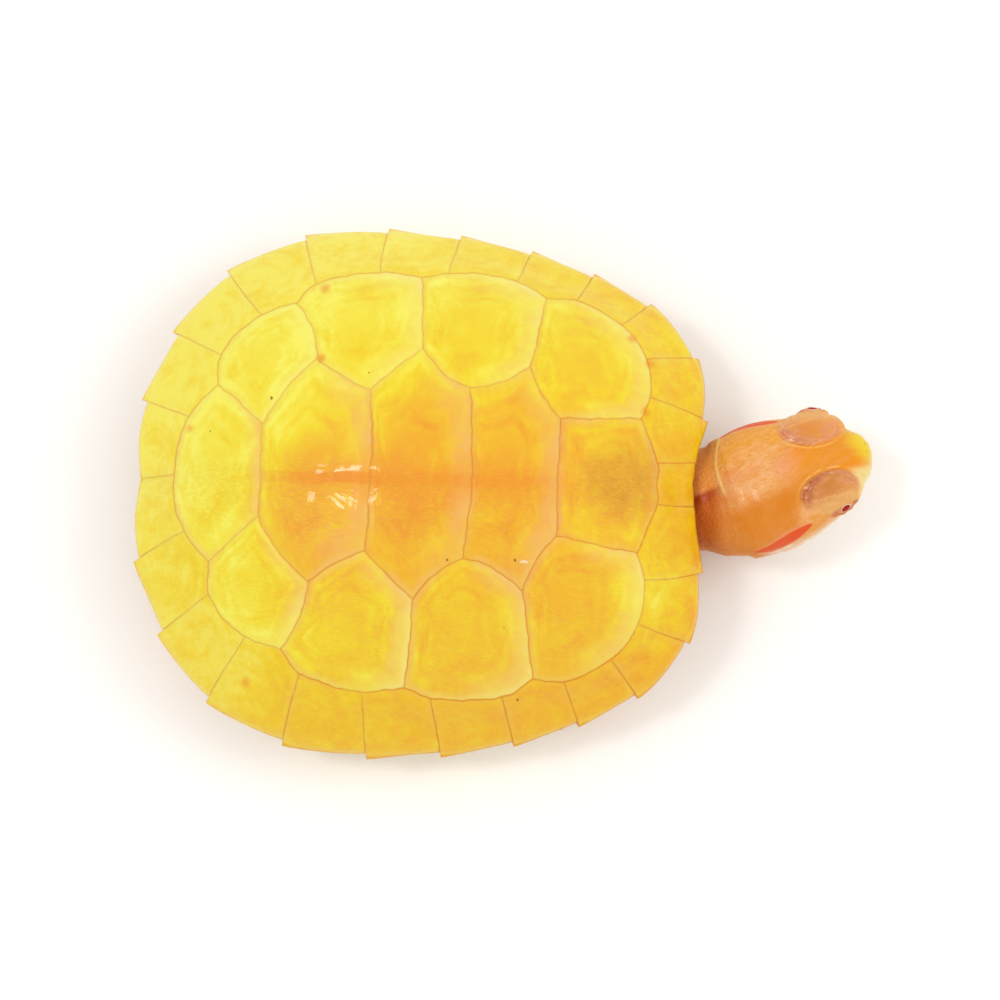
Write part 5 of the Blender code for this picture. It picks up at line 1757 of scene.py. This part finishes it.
def skinFinish():
    tints = paints(skinTints)
    made, shader, w = newMaterial("skin", {
        "IOR": 1.42, "Specular IOR Level": 0.25, "Coat Roughness": 0.06,
        "Subsurface Weight": 0.22, "Subsurface Radius": (1.0, 0.35, 0.14), "Subsurface Scale": 0.0012})
    at = skinFields(w)
    tint = at.onHead.mix(bodyTint(w, at, tints), crownTint(w, at, tints))
    for over in (cheekOver, beakOver, lidsOver, mouthOver, earOver, neckOver):
        tint = over(w, at, tint, tints)
    pit = w.length(at.back - 0.45, at.wide - 0.42).rise(0.06, 0.18, 0.45, 0)
    tint = (pit * at.height.rise(8.6, 9.0) * 0.7).mix(tint, tints["nostril"])
    # relief: grain and creases, pads between the scales' lines, and the lids' crumpled skin
    relief = at.place.noise(2400, 2, 0.6) * 0.30 + at.place.noise(750, 3, 0.65, 0.8) * 0.55
    relief = relief + at.cells.rise(0.0, 0.22) * at.limb * 3.5
    relief = relief + at.fineCells.rise(0.0, 0.25) * (1 - at.limb) * at.onBody * 1.2
    relief = relief + at.crumpled * at.crumpledShare * at.onDome * 5.0 + at.fibres * at.onHead * 0.9
    connect(shader, {"Base Color": tint, "Roughness": 0.42 + at.mottle * 0.2,
                     "Normal": relief.bump(0.45, 0.00009),
                     "Coat Weight": 0.08 + at.onDome * 0.25 + at.cloud * 0.08})
    return made


eyeLook = {"pupil": colour("#A01408"), "pupilEdge": colour("#5E0C08"), "ring": colour("#F8D8C4"),
           "iris": colour("#E0A070"), "irisDeep": colour("#CC8458"), "white": colour("#E0A888")}


def eyeFinish():
    look = eyeLook
    made, shader, w = newMaterial("eye", {
        "IOR": 1.33, "Specular IOR Level": 0.02, "Coat Roughness": 0.03, "Coat IOR": 1.33,
        "Subsurface Weight": 0.1, "Subsurface Radius": (1.0, 0.3, 0.2), "Subsurface Scale": 0.0006})
    x, y, arc = w.field("gaze", "Vector").parts()
    streaks = w.joined(x / (arc + 0.05), y / (arc + 0.05), arc * 0.3).noise(9, 3, 0.6)
    tint = streaks.rise(0.3, 0.7).mix(look["iris"], look["irisDeep"])
    tint = arc.rise(1.15, 1.45).mix(tint, look["white"])
    # painted highlight of the lens: a pale ring round the pupil, stronger on its upper side
    ring = arc.near(eye["pupil"] + 0.05, 0.08) * (y - x * 0.5).rise(-0.4, 0.3, 0.1, 0.9)
    tint = ring.mix(tint, look["ring"])
    pupil = arc.rise(eye["pupil"] - 0.16, eye["pupil"]).mix(look["pupil"], look["pupilEdge"])
    tint = arc.rise(eye["pupil"] - 0.03, eye["pupil"] + 0.03, 1, 0).mix(tint, pupil)
    facing = w.node("ShaderNodeLayerWeight", None, {"Blend": 0.5}, "Facing")
    connect(shader, {"Base Color": tint, "Roughness": 0.12 + streaks * 0.1,
                     "Coat Weight": (0.25 + streaks * 0.1) * facing.rise(0.45, 0.85, 1, 0)})
    return made


clawLook = {"root": colour("#F2CF9A"), "tip": colour("#F8EBD2")}


def clawFinish():
    made, shader, w = newMaterial("claw_horn", {
        "IOR": 1.54, "Coat Roughness": 0.15, "Subsurface Weight": 0.2,
        "Subsurface Radius": (1.0, 0.6, 0.4), "Subsurface Scale": 0.0006})
    grain = placeOf(w).scaled((1, 1, 4)).noise(2500, 3, 0.6)
    tint = (w.field("length").rise(0.0, 0.8) * (0.7 + grain * 0.4)).mix(clawLook["root"], clawLook["tip"])
    connect(shader, {"Base Color": tint, "Roughness": 0.25 + grain * 0.15,
                     "Normal": grain.bump(0.2, 0.00003)})
    return made


print("skin")
skin = skinDetail(makeSkin())
skin.data.materials.clear()
skin.data.materials.append(skinFinish())
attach(skin, "root")
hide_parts("trunk", "neck", "head", "tail", *limbs)

print("eyes and claws")
eyeMaterial = eyeFinish()
for side, word in ((1, "left"), (-1, "right")):
    ball = makeEye(f"eyeball_{word}", side)
    ball.data.materials.append(eyeMaterial)
    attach(ball, "root")
    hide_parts(f"eye_{word}")
clawMaterial = clawFinish()
for limb, (path, count) in limbs.items():
    claws = makeClaws(f"claws_{limb}", path, count)
    claws.data.materials.append(clawMaterial)
    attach(claws, "root")


def finishPlate(made, node, material):
    made.data.materials.append(material)
    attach(made, "root")
    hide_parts(node)


print("carapace")
vertebralMaterial = shellFinish("shell_orange", "vertebral")
costalMaterial = shellFinish("shell_yellow", "costal")
marginalMaterial = shellFinish("shell_rim", "marginal")
for number in range(1, 6):
    outline = vertebralOutline(number)
    centre = centroid(outline) + np.array(growth["vertebral"][number - 1])
    made = plate(f"vertebral_{number}", outline, centre, onCarapace, scuteRelief)
    finishPlate(made, f"vertebral_scute_{number}", vertebralMaterial)
for side, word in ((1, "left"), (-1, "right")):
    for number in range(1, 5):
        outline = costalOutline(number)
        centre = centroid(outline) + np.array(growth["costal"][number - 1])
        turn = np.array([1, side])
        made = plate(f"costal_{word}_{number}", outline * turn, centre * turn, onCarapace, scuteRelief)
        finishPlate(made, f"costal_scute_{word}_{number}", costalMaterial)
    for number in range(1, 13):
        pair = shell["marginalSeams"][number - 1:number + 1]
        outer = [a[0] * side for a in pair]
        inner = [a[1] * side for a in pair]
        made = rimPlate(f"marginal_{word}_{number}", outer, inner, marginalTeeth)
        finishPlate(made, f"marginal_scute_{word}_{number}", marginalMaterial)
nuchalEnds = shell["marginalSeams"][0]
made = rimPlate("nuchal", (-nuchalEnds[0], nuchalEnds[0]), (-nuchalEnds[1], nuchalEnds[1]), nuchalTeeth)
finishPlate(made, "nuchal_scute", marginalMaterial)

print("plastron")
plastronMaterial = plastronFinish()
for side, word in ((1, "left"), (-1, "right")):
    for plateName, corners in plastronOutlines().items():
        corners = [np.array(c) * np.array([1, side]) for c in corners]
        outline = np.concatenate([seamRun(a, b) for a, b in zip(corners, corners[1:] + corners[:1])])
        made = plate(f"{plateName}_{word}", outline, centroid(outline), onPlastron)
        finishPlate(made, f"{plateName}_scute_{word}", plastronMaterial)

print("floor, light and camera")
studio = {
    "floorSize": 3.0,
    "floorTint": (0.95, 0.935, 0.91, 1),
    "floorSpeckle": (0.92, 0.91, 0.90, 1),
    "sky": (1.0, 0.99, 0.975, 1),
    "skyStrength": 0.95,
    # place, aim, size, power, tint
    "lights": (
        ("window", (0.03, 0.44, 0.90), (0, 0, 0), (0.17, 0.19), 1.6, (1.0, 0.985, 0.96)),
        ("side_pane", (0.03, 0.60, 0.80), (0, 0, 0), (0.17, 0.045), 0.3, (1.0, 0.985, 0.96)),
        ("fill", (0.10, -0.62, 0.62), (0, 0, 0), (0.4, 0.4), 1.5, (1.0, 0.98, 0.95)),
    ),
    "camera": (-0.05623, 0.000414, 0.39025),
    "lean": math.radians(8.3),
    "turn": math.radians(2.2),
    "lens": 133.5,
}
floorMesh = bpy.data.meshes.new("floor")
size = studio["floorSize"] / 2
corners = [(-size, -size, 0), (size, -size, 0), (size, size, 0), (-size, size, 0)]
floorMesh.from_pydata(corners, [], [(0, 1, 2, 3)])
floor = bpy.data.objects.new("floor", floorMesh)
bpy.context.scene.collection.objects.link(floor)
floorMaterial, floorShader, w = newMaterial("floor_pale", {"Roughness": 0.6, "Specular IOR Level": 0.3})
speckle = placeOf(w).noise(40, 2, 0.5)
connect(floorShader, {"Base Color": (speckle * 0.2).mix(studio["floorTint"], studio["floorSpeckle"])})
floorMesh.materials.append(floorMaterial)

world = bpy.data.worlds.new("studio")
world.use_nodes = True
background = world.node_tree.nodes["Background"]
background.inputs["Color"].default_value = studio["sky"]
background.inputs["Strength"].default_value = studio["skyStrength"]
bpy.context.scene.world = world
for name, place, aim, extent, power, tint in studio["lights"]:
    data = bpy.data.lights.new(name, "AREA")
    data.shape = "RECTANGLE"
    data.size, data.size_y = extent
    data.energy = power
    data.color = tint
    lamp = bpy.data.objects.new(name, data)
    lamp.location = place
    lamp.visible_glossy = name != "fill"
    lamp.rotation_euler = (Vector(aim) - Vector(place)).to_track_quat("-Z", "Y").to_euler()
    bpy.context.scene.collection.objects.link(lamp)

forward = Vector((math.sin(studio["lean"]), 0, -math.cos(studio["lean"])))
right = Vector((math.sin(studio["turn"]), -math.cos(studio["turn"]), 0))
right = (right - forward * right.dot(forward)).normalized()
up = right.cross(forward)
cameraData = bpy.data.cameras.new("camera")
cameraData.lens = studio["lens"]
cameraData.clip_start = 0.001
camera = bpy.data.objects.new("camera", cameraData)
turned = Matrix((right, up, -forward)).transposed().to_4x4()
camera.matrix_world = Matrix.Translation(studio["camera"]) @ turned
bpy.context.scene.collection.objects.link(camera)
bpy.context.scene.camera = camera
bpy.context.scene.view_settings.view_transform = "Standard"

bpy.context.view_layer.update()
